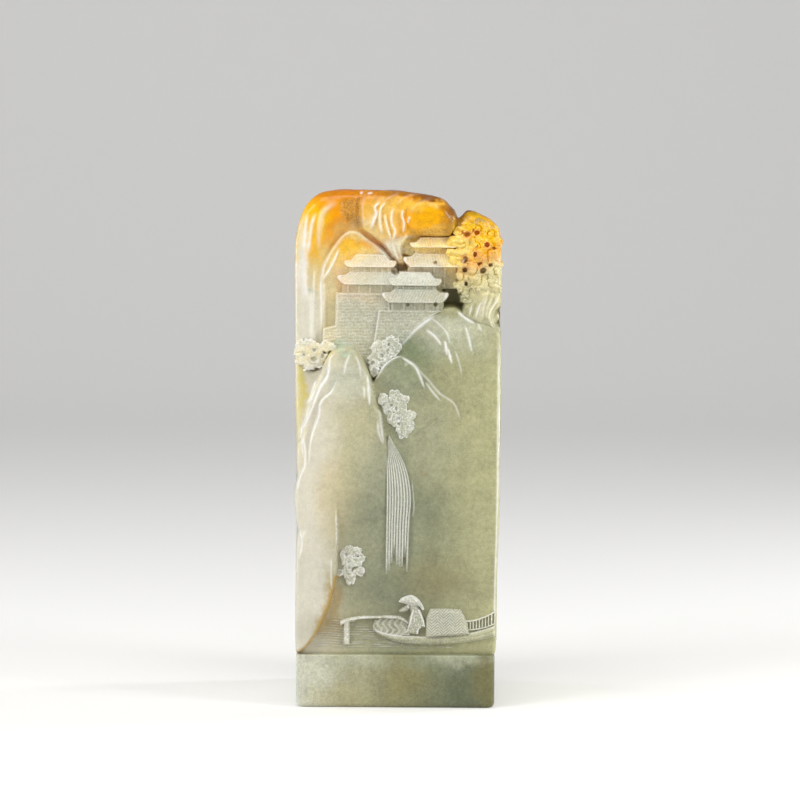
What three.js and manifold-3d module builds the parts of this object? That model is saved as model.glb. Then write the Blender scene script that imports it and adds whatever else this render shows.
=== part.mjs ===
// A seal stamp cut from one upright block of jade: a square base with the sealing face, and above a
// groove the body, carved with mountains, gate towers, a waterfall and a boat in relief.
// The stone is one piece. Each mesh is one carved form of it, seated flat on the form behind it.
// Millimetres, X to the right, Y to the back, Z up, with the sealing face at Z = 0.
import * as THREE from 'three';
import { mergeVertices } from 'three/addons/utils/BufferGeometryUtils.js';
import Module from 'manifold-3d';

const wasm = await Module();
wasm.setup();

// Base and groove
const BASE_WIDTH = 30;
const BASE_DEPTH = 30;
const BASE_HEIGHT = 8;
const BASE_CORNER_RADIUS = 1.2;
const SEALING_EDGE_ROUNDING = 0.4;
const GROOVE_HEIGHT = 0.8;
const GROOVE_DEPTH = 0.6;

// Body
const BODY_WIDTH = 31;
const BODY_DEPTH = 31;
const BODY_HEIGHT = 69.6;
const BODY_CORNER_RADIUS = 1.6;
const CROWN_FALL_TO_BACK = 7;
const CROWN_DIP = 0.8;
const CARVED_EDGE_ROUNDING = 0.5;
const CLEARANCE = 0.3;

// Relief, from the front of the cliff back to the floor of the recess behind the gates
const CLIFF_RELIEF = 1.8;
const CLIFF_FOOT_RELIEF = 0.5;
const RECESS_DEPTH = 4;
const CROWN_SETBACK = 0.3;
const CROWN_EDGE_ROUNDING = 0.6;
const CROWN_FOLD_DEPTH = 0.5;
const CROWN_FOLDS = 9;
const COLUMN_FOLD_PITCH = 1.4;
const FAR_RELIEF = 2.2;
const WALL_RELIEF = 1.2;
const MIDDLE_HILL_RELIEF = 0.7;
const WATERFALL_RELIEF = 0.6;
const WATERFALL_STRANDS = 7;
const FOLIAGE_RELIEF = 1.3;
const PINE_RELIEF = 2.2;

// Gate towers
const FRONT_TOWER_WIDTH = 10.4;
const FRONT_TOWER_HEIGHT = 5.7;
const LEFT_TOWER_WIDTH = 9.2;
const LEFT_TOWER_HEIGHT = 5.8;
const REAR_TOWER_WIDTH = 9.8;
const REAR_TOWER_HEIGHT = 5.6;
const TOWER_RELIEF = 1;
const EAVE_OVERHANG = 0.7;
const EAVE_TIP_LIFT = 0.6;
const COLUMN_RADIUS = 0.16;
const COLUMNS = 5;

// Foliage
const LEAF_CLUMP_RADIUS = 0.85;
const DRILL_RADIUS = 0.34;

// Boat and fisherman
const BOAT_RELIEF = 0.9;
const BEAM_THICKNESS = 0.6;
const RAIL_SLATS = 6;
const RAIL_THICKNESS = 0.4;
const RAIL_RELIEF = 0.7;
const RAIL_SLAT_WIDTH = 0.26;
const CABIN_RELIEF = 1.1;
const HAT_WIDTH = 3.7;
const HAT_HEIGHT = 1.6;
const CAPE_WIDTH = 2.4;
const CAPE_HEIGHT = 2.4;
const LEG_WIDTH = 0.5;
const FIGURE_RELIEF = 1.1;

// Planes and levels worked out from the sizes above
const halfWidth = BODY_WIDTH / 2;
const frontY = -BODY_DEPTH / 2;
const backY = BODY_DEPTH / 2;
const groundY = frontY + CLIFF_RELIEF;
const crownY = groundY + CROWN_SETBACK;
const recessY = groundY + RECESS_DEPTH;
const farY = recessY - FAR_RELIEF;
const bodyFoot = BASE_HEIGHT + GROOVE_HEIGHT / 2;

// A place on the carved face: across in hundredths of the half width from the centre line,
// up in hundredths of the body's height above the groove
function face(across, up) {
  return new THREE.Vector2((across / 100) * halfWidth, bodyFoot + (up / 100) * BODY_HEIGHT);
}

function facePoints(pairs) {
  return pairs.map(([across, up]) => face(across, up));
}

// Solids from three.js geometry and back
function toSolid(geometry) {
  const bare = geometry.index ? geometry.toNonIndexed() : geometry.clone();
  bare.deleteAttribute('normal');
  bare.deleteAttribute('uv');
  const merged = mergeVertices(bare, 1e-4);
  const mesh = new wasm.Mesh({
    numProp: 3,
    vertProperties: new Float32Array(merged.attributes.position.array),
    triVerts: new Uint32Array(merged.index.array),
  });
  return new wasm.Manifold(mesh);
}

function toGeometry(solid) {
  const mesh = solid.getMesh();
  const geometry = new THREE.BufferGeometry();
  geometry.setAttribute('position', new THREE.BufferAttribute(new Float32Array(mesh.vertProperties), 3));
  geometry.setIndex(new THREE.BufferAttribute(new Uint32Array(mesh.triVerts), 1));
  const flat = geometry.toNonIndexed();
  flat.computeVertexNormals();
  return flat;
}

function joined(solids) {
  return solids.reduce((all, solid) => all.add(solid));
}

function cutBy(solid, cutters) {
  return cutters.reduce((left, cutter) => left.subtract(cutter), solid);
}

// A box between two corners
function block(x0, x1, y0, y1, z0, z1) {
  const box = new THREE.BoxGeometry(x1 - x0, y1 - y0, z1 - z0);
  box.translate((x0 + x1) / 2, (y0 + y1) / 2, (z0 + z1) / 2);
  return toSolid(box);
}

// Everything in front of a seating plane
function inFrontOf(seatY) {
  return block(-BODY_WIDTH, BODY_WIDTH, frontY - BODY_DEPTH, seatY, -BODY_HEIGHT, 2 * BODY_HEIGHT);
}

// An outline moved outwards by a distance, point by point
function grownOutline(points, distance) {
  const turn = THREE.ShapeUtils.area(points) > 0 ? 1 : -1;
  return points.map((point, i) => {
    const before = points[(i + points.length - 1) % points.length];
    const after = points[(i + 1) % points.length];
    const along = after.clone().sub(before).normalize();
    return new THREE.Vector2(point.x + turn * along.y * distance, point.y - turn * along.x * distance);
  });
}

// A smooth line through points of the face
function smooth(pairs, steps = 2) {
  return new THREE.SplineCurve(facePoints(pairs)).getPoints(steps * (pairs.length - 1));
}

// A solid lofted through rings of one outline, with flat ends
function loft(outline, rings) {
  const count = outline.length;
  const index = [];
  for (let ring = 0; ring < rings.length - 1; ring += 1) {
    for (let i = 0; i < count; i += 1) {
      const [a, b] = [ring * count + i, ring * count + ((i + 1) % count)];
      index.push(a, b, b + count, a, b + count, a + count);
    }
  }
  const last = (rings.length - 1) * count;
  for (const [a, b, c] of THREE.ShapeUtils.triangulateShape(outline, [])) {
    index.push(a, c, b, last + a, last + b, last + c);
  }
  const geometry = new THREE.BufferGeometry();
  const positions = rings.flat().flatMap((point) => point.toArray());
  geometry.setAttribute('position', new THREE.Float32BufferAttribute(positions, 3));
  geometry.setIndex(index);
  return toSolid(geometry);
}

function counterClockwise(outline) {
  return THREE.ShapeUtils.area(outline) > 0 ? outline : outline.slice().reverse();
}

// An outline of the face carved forward from its seat, with its front edge rounded
function carved(outline, seatY, relief, rounding = CARVED_EDGE_ROUNDING) {
  const shape = counterClockwise(outline);
  const sections = [
    { depth: 0, inset: 0 },
    { depth: relief - rounding, inset: 0 },
    { depth: relief - 0.3 * rounding, inset: 0.3 * rounding },
    { depth: relief, inset: rounding },
  ];
  const rings = sections.map(({ depth, inset }) =>
    grownOutline(shape, -inset).map((point) => new THREE.Vector3(point.x, seatY - depth, point.y)),
  );
  return loft(shape, rings);
}

// The space that a neighbour keeps clear of a carved outline, all the way through
function clearOf(outline) {
  const shape = counterClockwise(outline);
  const rings = [BODY_DEPTH, -BODY_DEPTH].map((y) =>
    grownOutline(shape, CLEARANCE).map((point) => new THREE.Vector3(point.x, y, point.y)),
  );
  return loft(shape, rings);
}

// A closed solid between an outer and an inner surface, both given point by point over the same
// grid: seen from outside, the columns run to the right and the rows run up
function solidBetween(columns, rows, outer, inner) {
  const positions = [];
  const index = [];
  const perSide = (columns + 1) * (rows + 1);
  for (const surface of [outer, inner]) {
    for (let row = 0; row <= rows; row += 1) {
      for (let column = 0; column <= columns; column += 1) {
        positions.push(...surface(column / columns, row / rows).toArray());
      }
    }
  }
  const at = (column, row) => row * (columns + 1) + column;
  for (let row = 0; row < rows; row += 1) {
    for (let column = 0; column < columns; column += 1) {
      const [a, b] = [at(column, row), at(column + 1, row)];
      const [c, d] = [at(column + 1, row + 1), at(column, row + 1)];
      index.push(a, b, c, a, c, d);
      index.push(perSide + a, perSide + c, perSide + b, perSide + a, perSide + d, perSide + c);
    }
  }
  const wall = (from, to) => index.push(from, perSide + from, perSide + to, from, perSide + to, to);
  for (let column = 0; column < columns; column += 1) {
    wall(at(column, 0), at(column + 1, 0));
    wall(at(column + 1, rows), at(column, rows));
  }
  for (let row = 0; row < rows; row += 1) {
    wall(at(columns, row), at(columns, row + 1));
    wall(at(0, row + 1), at(0, row));
  }
  const geometry = new THREE.BufferGeometry();
  geometry.setAttribute('position', new THREE.Float32BufferAttribute(positions, 3));
  geometry.setIndex(index);
  return toSolid(geometry);
}

// A form seated on a plane, with its front surface given point by point
function reliefSurface(columns, rows, seatY, front) {
  return solidBetween(columns, rows, front, (u, v) => front(u, v).setY(seatY));
}

// Blocks
function roundedRectangle(width, depth, radius, steps = 4) {
  const corners = [[1, -1], [1, 1], [-1, 1], [-1, -1]];
  return corners.flatMap(([sideX, sideY], corner) => {
    const centre = new THREE.Vector2(sideX * (width / 2 - radius), sideY * (depth / 2 - radius));
    return Array.from({ length: steps + 1 }, (_, i) => {
      const angle = (Math.PI / 2) * (corner - 1 + i / steps);
      return new THREE.Vector2(Math.cos(angle), Math.sin(angle)).multiplyScalar(radius).add(centre);
    });
  });
}

// A block lofted through sections drawn in by an inset at each height
function loftedBlock(width, depth, radius, sections) {
  const rings = sections.map(({ z, inset }) => {
    const ring = roundedRectangle(width - 2 * inset, depth - 2 * inset, Math.max(radius - inset, 0.2));
    return ring.map((point) => new THREE.Vector3(point.x, point.y, z));
  });
  return loft(roundedRectangle(width, depth, radius), rings);
}

function sealBase() {
  return loftedBlock(BASE_WIDTH, BASE_DEPTH, BASE_CORNER_RADIUS, [
    { z: 0, inset: SEALING_EDGE_ROUNDING },
    { z: SEALING_EDGE_ROUNDING * 0.3, inset: SEALING_EDGE_ROUNDING * 0.3 },
    { z: SEALING_EDGE_ROUNDING, inset: 0 },
    { z: BASE_HEIGHT - GROOVE_HEIGHT / 2, inset: 0 },
    { z: BASE_HEIGHT, inset: GROOVE_DEPTH },
  ]);
}

// The body's outer form, with the upper half of the groove below
function bodyForm() {
  const grooveInset = GROOVE_DEPTH + (BODY_WIDTH - BASE_WIDTH) / 2;
  return loftedBlock(BODY_WIDTH, BODY_DEPTH, BODY_CORNER_RADIUS, [
    { z: BASE_HEIGHT, inset: grooveInset },
    { z: bodyFoot, inset: grooveInset - GROOVE_DEPTH },
    { z: bodyFoot + BODY_HEIGHT / 2, inset: 0 },
    { z: bodyFoot + 2 * BODY_HEIGHT, inset: 0 },
  ]);
}

// The crown's line from left to right, seen from the front
const crownLine = [
  [-100, 86.5], [-97, 91], [-91, 95.3], [-79, 98.4], [-60, 99.8], [-30, 100], [0, 99.8], [20, 99],
  [38, 97.8], [50, 95.3], [60, 94.2], [72, 94.8], [86, 93.2], [96, 90.4], [100, 87],
];

function crownHeight(across) {
  const next = Math.max(1, crownLine.findIndex(([x]) => x >= across));
  const [[x0, z0], [x1, z1]] = [crownLine[next - 1], crownLine[next]];
  return THREE.MathUtils.lerp(z0, z1, THREE.MathUtils.clamp((across - x0) / (x1 - x0), 0, 1));
}

// The stone behind the carving, its top falling to the back in a rounded shoulder
function stoneBody() {
  const top = (u, v) => {
    const across = -100 + 200 * u;
    const fall = CROWN_FALL_TO_BACK * (0.25 * v ** 2 + 0.75 * v ** 6);
    const dip = CROWN_DIP * Math.sin(5 * u + 2) * Math.sin(Math.PI * v);
    const point = face(across, crownHeight(across));
    return new THREE.Vector3(point.x, THREE.MathUtils.lerp(recessY, backY, v), point.y - fall + dip);
  };
  const foot = (u, v) => top(u, v).setZ(BASE_HEIGHT);
  return solidBetween(26, 12, top, foot).intersect(bodyForm());
}

// Outlines on the carved face, from the front of the scene to the back
const groundSkyline = [
  [-100, 62], [-90, 61.5], [-80, 61], [-72, 62.4], [-65, 64.4], [-52, 65.7], [-37, 64], [-26, 60],
  [-17, 58.5], [-8, 61.5], [3, 66], [16, 69.8], [31, 72.6], [45, 73.8], [57, 73.8], [68, 72.5], [85, 71],
  [100, 68.5],
];
const waterLevel = 8;
const groundOutline = [...smooth(groundSkyline), face(100, waterLevel), face(-100, waterLevel)];
const waterOutline = [face(-100, waterLevel), face(100, waterLevel), face(100, 0), face(-100, 0)];

const cliffOutline = [
  ...smooth([
    [-100, 45], [-93, 46.5], [-89.5, 52], [-81, 56.5], [-72, 61.3], [-64, 64], [-52, 65], [-40, 64],
    [-30, 61], [-23.5, 57], [-19, 53], [-13, 48.5], [-11, 43.5], [-10.5, 34], [-11, 24],
  ]),
  ...smooth([[-25, 20], [-43, 22.5], [-56, 26]]),
  ...smooth([[-58, 24], [-59, 19], [-62, 13.5], [-68, 9.5], [-76, 5.5], [-86, 1.5], [-93, 0]]),
  face(-100, 0),
];

const middleHillOutline = [
  ...smooth([
    [-10, 57.2], [-5, 60.5], [4, 62.8], [12, 62], [20, 59.8], [30, 57.5], [41, 55], [53, 52], [66, 49],
    [78, 44.5],
  ]),
  ...smooth([[62, 45.5], [42, 46.5], [22, 48]]),
];

const innerPeakOutline = [
  ...smooth([
    [-75, 55], [-75, 70], [-74.8, 76], [-75.8, 80], [-74.2, 83.4], [-66, 87], [-58, 89.6], [-49, 91.2],
    [-41, 91.2], [-31, 89.8], [-19, 87.5], [-10, 85.4], [-2, 83.2],
  ]),
  face(4, 80.5), face(42, 80.5), face(42, 60),
];

const leftPeakOutline = [
  face(-100, 67.5),
  ...smooth([[-100, 86], [-97, 91], [-91, 95.3], [-79, 98.4], [-60, 99.8], [-36, 100]]),
  face(-36, 84), face(-70, 84), face(-70, 67.5),
];

const mainRockOutline = [
  ...smooth([
    [-34, 100], [-8, 100], [20, 99], [38, 97.8], [50, 95.3], [56.5, 93.8], [55, 91.6], [51, 90.7],
  ]),
  ...smooth([
    [40, 91.2], [18, 91], [9, 88.6], [3, 86], [-3, 85.8], [-9, 87.4], [-18, 89.4], [-27, 91.2],
    [-34.5, 92.6], [-36, 95],
  ]),
];

const backRidgeOutline = [
  ...smooth([[60, 93.6], [72, 94.4], [86, 92.8], [96, 90], [100, 86.8]]),
  face(100, 73.4), face(78, 73.4), face(76, 79), face(60, 84),
];

// Walls of brick, the front one battered, with the levels that the towers stand on
const frontWallTop = 73.8;
const leftWallTop = 77.6;
const frontWallOutline = facePoints([
  [-19, frontWallTop], [44, frontWallTop], [34, 66], [-6, 58], [-27, 58],
]);
const leftWallOutline = facePoints([
  [-59, leftWallTop], [-18, leftWallTop], [-18, 57], [-73, 57], [-73, 69.6], [-59.5, 69.6],
]);

// The foliage: an oval on the face for each, with its drilled holes in shares of the oval
const leftFoliage = {
  centre: face(-84.5, 65), halfWidth: 2.3, halfHeight: 2.3, clumps: 8,
  holes: [[0.2, 0.3], [-0.4, 0], [0.3, -0.3]],
};
const wallFoliage = {
  centre: face(-11, 63.6), halfWidth: 2.6, halfHeight: 3.2, clumps: 11,
  holes: [[0.2, 0.5], [0, -0.1], [-0.4, -0.3]],
};
const cliffFoliage = {
  centre: face(2, 52), halfWidth: 2.6, halfHeight: 3.2, clumps: 11,
  holes: [[-0.4, 0.3], [0.2, 0.5], [0.3, -0.2]],
};
const shoreFoliage = {
  centre: face(-44.5, 18.5), halfWidth: 2.1, halfHeight: 2.9, clumps: 9,
  holes: [[-0.3, 0.5], [0.4, 0.4], [0, -0.2]],
};
const pineFoliage = {
  centre: face(76, 84.5), halfWidth: 3.7, halfHeight: 5.3, clumps: 18,
  holes: [[-0.3, 0.6], [0.1, 0.5], [-0.4, 0], [0.3, -0.1], [0, -0.5]],
};

function oval({ centre, halfWidth: a, halfHeight: b }, steps = 20) {
  return new THREE.EllipseCurve(centre.x, centre.y, a, b, 0, 2 * Math.PI).getPoints(steps).slice(0, -1);
}

// Foliage: round leaf clumps spread evenly over the oval, on a thin bed, with drilled holes
function foliage({ centre, halfWidth: a, halfHeight: b, clumps, holes }, seatY, relief) {
  const radius = LEAF_CLUMP_RADIUS;
  const bed = { centre, halfWidth: a - radius * 0.6, halfHeight: b - radius * 0.6 };
  const solids = [carved(oval(bed, 12), seatY, relief - radius * 0.5, 0.2)];
  for (let i = 0; i < clumps; i += 1) {
    const reach = Math.sqrt((i + 0.5) / clumps);
    const angle = i * Math.PI * (3 - Math.sqrt(5));
    const clump = new THREE.SphereGeometry(radius, 8, 5);
    clump.scale(1, 0.8, 1);
    clump.translate(
      centre.x + (a - radius) * reach * Math.cos(angle),
      seatY - relief + radius * (0.8 + 0.3 * reach),
      centre.y + (b - radius) * reach * Math.sin(angle),
    );
    solids.push(toSolid(clump));
  }
  const drills = holes.map(([across, up]) => {
    const drill = new THREE.CylinderGeometry(DRILL_RADIUS, DRILL_RADIUS, 2 * relief, 7);
    drill.translate(centre.x + across * a, seatY - 1.2 * relief, centre.y + up * b);
    return toSolid(drill);
  });
  return cutBy(joined(solids).intersect(inFrontOf(seatY)), drills);
}

// A swept roof: steep at the ridge, flat at the eave, with the eave's tips lifted
function sweptRoof(centreX, topZ, halfTop, halfEave, height, seatY, storeyY) {
  return reliefSurface(12, 4, seatY, (u, v) => {
    const across = 2 * u - 1;
    const down = 1 - v;
    const half = THREE.MathUtils.lerp(halfTop, halfEave, down);
    const drop = height * (1 - v ** 1.7);
    const lift = EAVE_TIP_LIFT * Math.abs(across) ** 3 * down ** 2;
    const y = storeyY - EAVE_OVERHANG * down * (1 - 0.35 * across ** 4);
    return new THREE.Vector3(centreX + across * half, y, topZ - drop + lift);
  });
}

// A gate tower of two storeys under two swept roofs, standing at its foot
function gateTower(foot, width, height, seatY) {
  const storeyY = seatY - TOWER_RELIEF;
  const half = width / 2;
  const seam = 0.08;
  const lowerStorey = 0.23 * height;
  const lowerRoof = 0.32 * height;
  const upperStorey = 0.12 * height;
  const upperRoof = 0.33 * height;
  const lowerTop = foot.y + lowerStorey + lowerRoof;
  const storey = (share, z0, z1) =>
    block(foot.x - share * half, foot.x + share * half, storeyY, seatY, z0, z1);
  const solids = [
    storey(0.8, foot.y, foot.y + lowerStorey + seam),
    sweptRoof(foot.x, lowerTop, 0.68 * half, half, lowerRoof, seatY, storeyY),
    storey(0.68, lowerTop - seam, lowerTop + upperStorey + seam),
    sweptRoof(foot.x, foot.y + height, 0.46 * half, 0.78 * half, upperRoof, seatY, storeyY),
  ];
  for (let i = 0; i < COLUMNS; i += 1) {
    const column = new THREE.CylinderGeometry(COLUMN_RADIUS, COLUMN_RADIUS, lowerStorey + seam, 8);
    column.rotateX(Math.PI / 2);
    const x = foot.x + 0.72 * half * (-1 + (2 * i) / (COLUMNS - 1));
    column.translate(x, storeyY, foot.y + (lowerStorey + seam) / 2);
    solids.push(toSolid(column));
  }
  return joined(solids);
}

// The cliff: full relief above, thinning to its foot beside the low bank
function leftCliff() {
  const [low, high] = [face(-104, -2), face(0, 70)];
  const surface = reliefSurface(13, 26, groundY, (u, v) => {
    const x = THREE.MathUtils.lerp(low.x, high.x, u);
    const z = THREE.MathUtils.lerp(low.y, high.y, v);
    const bank = face(-58, 24);
    const beside = THREE.MathUtils.smoothstep(x, bank.x - 1, bank.x + 3);
    const below = 1 - THREE.MathUtils.smoothstep(z, bank.y - 4, bank.y + 14);
    const roundness = 0.35 * ((x - face(-58, 0).x) / (0.5 * halfWidth)) ** 2;
    const relief = THREE.MathUtils.lerp(CLIFF_RELIEF, CLIFF_FOOT_RELIEF, beside * below);
    return new THREE.Vector3(x, groundY - Math.max(relief - Math.min(roundness, 0.5), 0.3), z);
  });
  const prism = carved(cliffOutline, groundY, CLIFF_RELIEF, 0.35);
  const beds = [leftFoliage, wallFoliage, cliffFoliage, shoreFoliage].map((place) => clearOf(oval(place)));
  return cutBy(prism.intersect(surface).intersect(bodyForm()), beds);
}

// The left crown peak, standing behind the inner peak, with upright folds beside the left edge
function leftPeak() {
  const relief = recessY - crownY;
  const [low, high] = [face(-104, 62), face(-30, 104)];
  const surface = reliefSurface(24, 6, recessY, (u, v) => {
    const x = THREE.MathUtils.lerp(low.x, high.x, u);
    const z = THREE.MathUtils.lerp(low.y, high.y, v);
    const fold = Math.cos((2 * Math.PI * (x + halfWidth)) / COLUMN_FOLD_PITCH);
    const folded = 1 - THREE.MathUtils.smoothstep(x, face(-80, 0).x, face(-68, 0).x);
    const lean = 0.8 * THREE.MathUtils.smoothstep(x, face(-78, 0).x, face(-45, 0).x);
    return new THREE.Vector3(x, crownY + CROWN_FOLD_DEPTH * 0.5 * (1 - fold) * folded + lean, z);
  });
  const peak = carved(leftPeakOutline, recessY, relief, CROWN_EDGE_ROUNDING).intersect(surface);
  return cutBy(peak, [clearOf(innerPeakOutline), clearOf(mainRockOutline)]);
}

// The main crown rock, with folds that fan out from its foot
function mainRock() {
  const relief = recessY - crownY;
  const fan = face(2, 88);
  const [low, high] = [face(-40, 82), face(62, 102)];
  const surface = reliefSurface(26, 14, recessY, (u, v) => {
    const x = THREE.MathUtils.lerp(low.x, high.x, u);
    const z = THREE.MathUtils.lerp(low.y, high.y, v);
    const angle = Math.atan2(x - fan.x, z - fan.y + 2);
    const reach = Math.hypot(x - fan.x, z - fan.y);
    const fold = Math.cos(CROWN_FOLDS * angle) * THREE.MathUtils.smoothstep(reach, 1, 3);
    const folded = 1 - THREE.MathUtils.smoothstep(x, fan.x + 2, fan.x + 5);
    return new THREE.Vector3(x, recessY - relief + CROWN_FOLD_DEPTH * 0.5 * (1 - fold) * folded, z);
  });
  return carved(mainRockOutline, recessY, relief, CROWN_EDGE_ROUNDING).intersect(surface);
}

// Falling water in strands, widening below the lip and ragged at its foot
function waterfall() {
  const [lip, foot, edge] = [face(-8, 46), face(-8, 18), face(13, 18)];
  return reliefSurface(3 * WATERFALL_STRANDS, 10, groundY, (u, v) => {
    const down = 1 - v;
    const width = (edge.x - lip.x) * Math.sqrt(Math.min(1, 0.02 + 1.6 * down));
    const ragged = 0.9 * Math.sin(7 * u + 1) * down ** 4;
    const ridge = Math.abs(Math.sin(Math.PI * WATERFALL_STRANDS * u));
    const relief = WATERFALL_RELIEF * (0.55 + 0.45 * ridge) * (1 - 0.5 * down ** 4);
    const z = THREE.MathUtils.lerp(foot.y, lip.y, v) + ragged;
    return new THREE.Vector3(lip.x + width * u, groundY - relief, z);
  });
}

// Boat
const gunwale = smooth([[-19, 3.4], [-6, 3], [14, 2.6], [43, 2.2], [66, 2.9], [84, 4.8], [97, 6.8]]);
const keel = smooth([[97, 2.6], [80, 1.4], [60, 0.7], [40, 0.4], [14, 0.6], [-8, 1.6]]);
const hullOutline = [...gunwale, ...keel];

function boatHull() {
  return carved(hullOutline, groundY, BOAT_RELIEF, 0.3);
}

function boatCabin() {
  const outline = facePoints([[32, 1], [32.5, 6], [36.5, 8.1], [69, 7.9], [76, 5.4], [79, 1]]);
  return cutBy(carved(outline, groundY, CABIN_RELIEF, 0.3), [clearOf(hullOutline)]);
}

function bowBeam() {
  const line = smooth([[-52, 5.8], [-44, 6.7], [-25, 7.1], [-6, 7], [6, 6.1]]);
  const underside = line.map((point) => new THREE.Vector2(point.x, point.y - BEAM_THICKNESS)).reverse();
  const [postTop, postFoot] = [face(-48, 6.2), face(-46, 0.8)];
  const half = BEAM_THICKNESS / 2;
  const post = [
    new THREE.Vector2(postTop.x - half, postTop.y),
    new THREE.Vector2(postTop.x + half, postTop.y),
    new THREE.Vector2(postFoot.x + half, postFoot.y),
    new THREE.Vector2(postFoot.x - half, postFoot.y),
  ];
  const beam = carved([...line, ...underside], groundY, BOAT_RELIEF, 0.15);
  return beam.add(carved(post, groundY, BOAT_RELIEF, 0.15));
}

// The height of the hull's upper edge at a place across the face
function gunwaleHeight(x) {
  const next = Math.max(1, gunwale.findIndex((point) => point.x >= x));
  const [left, right] = [gunwale[next - 1], gunwale[next]];
  return THREE.MathUtils.mapLinear(x, left.x, right.x, left.y, right.y);
}

// A slatted rail above the stern, its slats standing on the hull
function sternRail() {
  const [left, right] = [face(80.5, 6.4), face(95.5, 9)];
  const under = [right, left].map((point) => new THREE.Vector2(point.x, point.y - RAIL_THICKNESS));
  const rail = [left, right, ...under];
  const solids = [carved(rail, groundY, RAIL_RELIEF, 0.1)];
  for (let i = 0; i < RAIL_SLATS; i += 1) {
    const top = left.clone().lerp(right, (i + 0.5) / RAIL_SLATS);
    const [x0, x1] = [top.x - RAIL_SLAT_WIDTH / 2, top.x + RAIL_SLAT_WIDTH / 2];
    const foot = Math.max(gunwaleHeight(x0), gunwaleHeight(x1)) + CLEARANCE;
    solids.push(block(x0, x1, groundY - 0.8 * RAIL_RELIEF, groundY, foot, top.y - RAIL_THICKNESS / 2));
  }
  return joined(solids);
}

// A small figure in a cape and a wide straw hat, standing in the boat
function fisherman() {
  const foot = face(18.5, 0);
  foot.y = gunwaleHeight(foot.x) + CLEARANCE;
  const flat = FIGURE_RELIEF / (HAT_WIDTH / 2);
  const turned = (radiusTop, radiusFoot, height, x, z) => {
    const form = new THREE.CylinderGeometry(radiusTop, radiusFoot, height, 14);
    form.rotateX(Math.PI / 2);
    form.scale(1, flat, 1);
    form.translate(x, groundY, z + height / 2);
    return toSolid(form);
  };
  const legs = 0.7;
  const seam = 0.1;
  const hatFoot = foot.y + legs + CAPE_HEIGHT - seam;
  const solids = [
    turned(LEG_WIDTH * 0.5, LEG_WIDTH * 0.6, legs + seam, foot.x - LEG_WIDTH, foot.y),
    turned(LEG_WIDTH * 0.5, LEG_WIDTH * 0.6, legs + seam, foot.x + LEG_WIDTH, foot.y),
    turned(CAPE_WIDTH * 0.2, CAPE_WIDTH / 2, CAPE_HEIGHT, foot.x, foot.y + legs),
    turned(0.1, HAT_WIDTH / 2, HAT_HEIGHT, foot.x - 0.2, hatFoot),
  ];
  return joined(solids).intersect(inFrontOf(groundY));
}

// The pine's grooved trunk, standing on the hill below its foliage
function pineTrunk() {
  const outline = [
    ...smooth([[79, 68], [80, 74], [78, 80]]),
    ...smooth([[96, 80], [95, 77], [91, 75], [91, 73.2], [97, 71.6], [98, 68]]),
  ];
  const trunk = carved(outline, farY, PINE_RELIEF * 0.8, CARVED_EDGE_ROUNDING);
  return cutBy(trunk, [clearOf(groundOutline), clearOf(oval(pineFoliage))]);
}

// The gate towers. The left one ends beside the front one, which stands before it, and the rear one
// ends at the pine and the ridge.
const frontTowerFoot = face(16.5, frontWallTop);

function frontGateTower() {
  return gateTower(frontTowerFoot, FRONT_TOWER_WIDTH, FRONT_TOWER_HEIGHT, farY);
}

function leftGateTower() {
  const tower = gateTower(face(-29.5, leftWallTop), LEFT_TOWER_WIDTH, LEFT_TOWER_HEIGHT, farY);
  const x = frontTowerFoot.x - FRONT_TOWER_WIDTH / 2 - CLEARANCE;
  const z = frontTowerFoot.y + FRONT_TOWER_HEIGHT + CLEARANCE;
  return tower.subtract(block(x, BODY_WIDTH, -BODY_DEPTH, BODY_DEPTH, 0, z));
}

function rearGateTower() {
  const tower = gateTower(face(37, 81.5), REAR_TOWER_WIDTH, REAR_TOWER_HEIGHT, recessY);
  return cutBy(tower, [clearOf(oval(pineFoliage)), clearOf(backRidgeOutline), clearOf(innerPeakOutline)]);
}

function middleHill() {
  const neighbours = [oval(wallFoliage), oval(cliffFoliage), cliffOutline];
  return cutBy(carved(middleHillOutline, groundY, MIDDLE_HILL_RELIEF, 0.3), neighbours.map(clearOf));
}

// The hill and the water reach back to the recess floor and share the body's sides
function groundForm(outline) {
  return carved(outline, recessY, RECESS_DEPTH, CARVED_EDGE_ROUNDING).intersect(bodyForm());
}

function farForm(outline) {
  return cutBy(carved(outline, recessY, FAR_RELIEF), [clearOf(groundOutline)]);
}

function brickWall(outline, neighbours) {
  return cutBy(carved(outline, farY, WALL_RELIEF, 0.2), neighbours.map(clearOf));
}

// The stone's zones, each in its own colour
const creamStone = { color: 0xe6e1d2, roughness: 0.25 };
const greyGreenStone = { color: 0x9fa283, roughness: 0.25 };
const yellowSkin = { color: 0xe9a832, roughness: 0.3 };
const paleCarving = { color: 0xd6d3bd, roughness: 0.5 };
const seal = new THREE.Group();

function place(name, look, solid) {
  const mesh = new THREE.Mesh(toGeometry(solid), new THREE.MeshStandardMaterial({ ...look, metalness: 0 }));
  mesh.name = name;
  seal.add(mesh);
}

place('seal_base', greyGreenStone, sealBase());
place('stone_body', creamStone, stoneBody());
place('hill_ground', greyGreenStone, groundForm(groundOutline));
place('lake_water', greyGreenStone, groundForm(waterOutline));
place('left_cliff', creamStone, leftCliff());
place('middle_hill', greyGreenStone, middleHill());
place('waterfall', paleCarving, waterfall());

place('crown_left_peak', yellowSkin, leftPeak());
place('crown_main_rock', yellowSkin, mainRock());
place('crown_back_ridge', yellowSkin, farForm(backRidgeOutline));
place('inner_peak', yellowSkin, farForm(innerPeakOutline));

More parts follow.
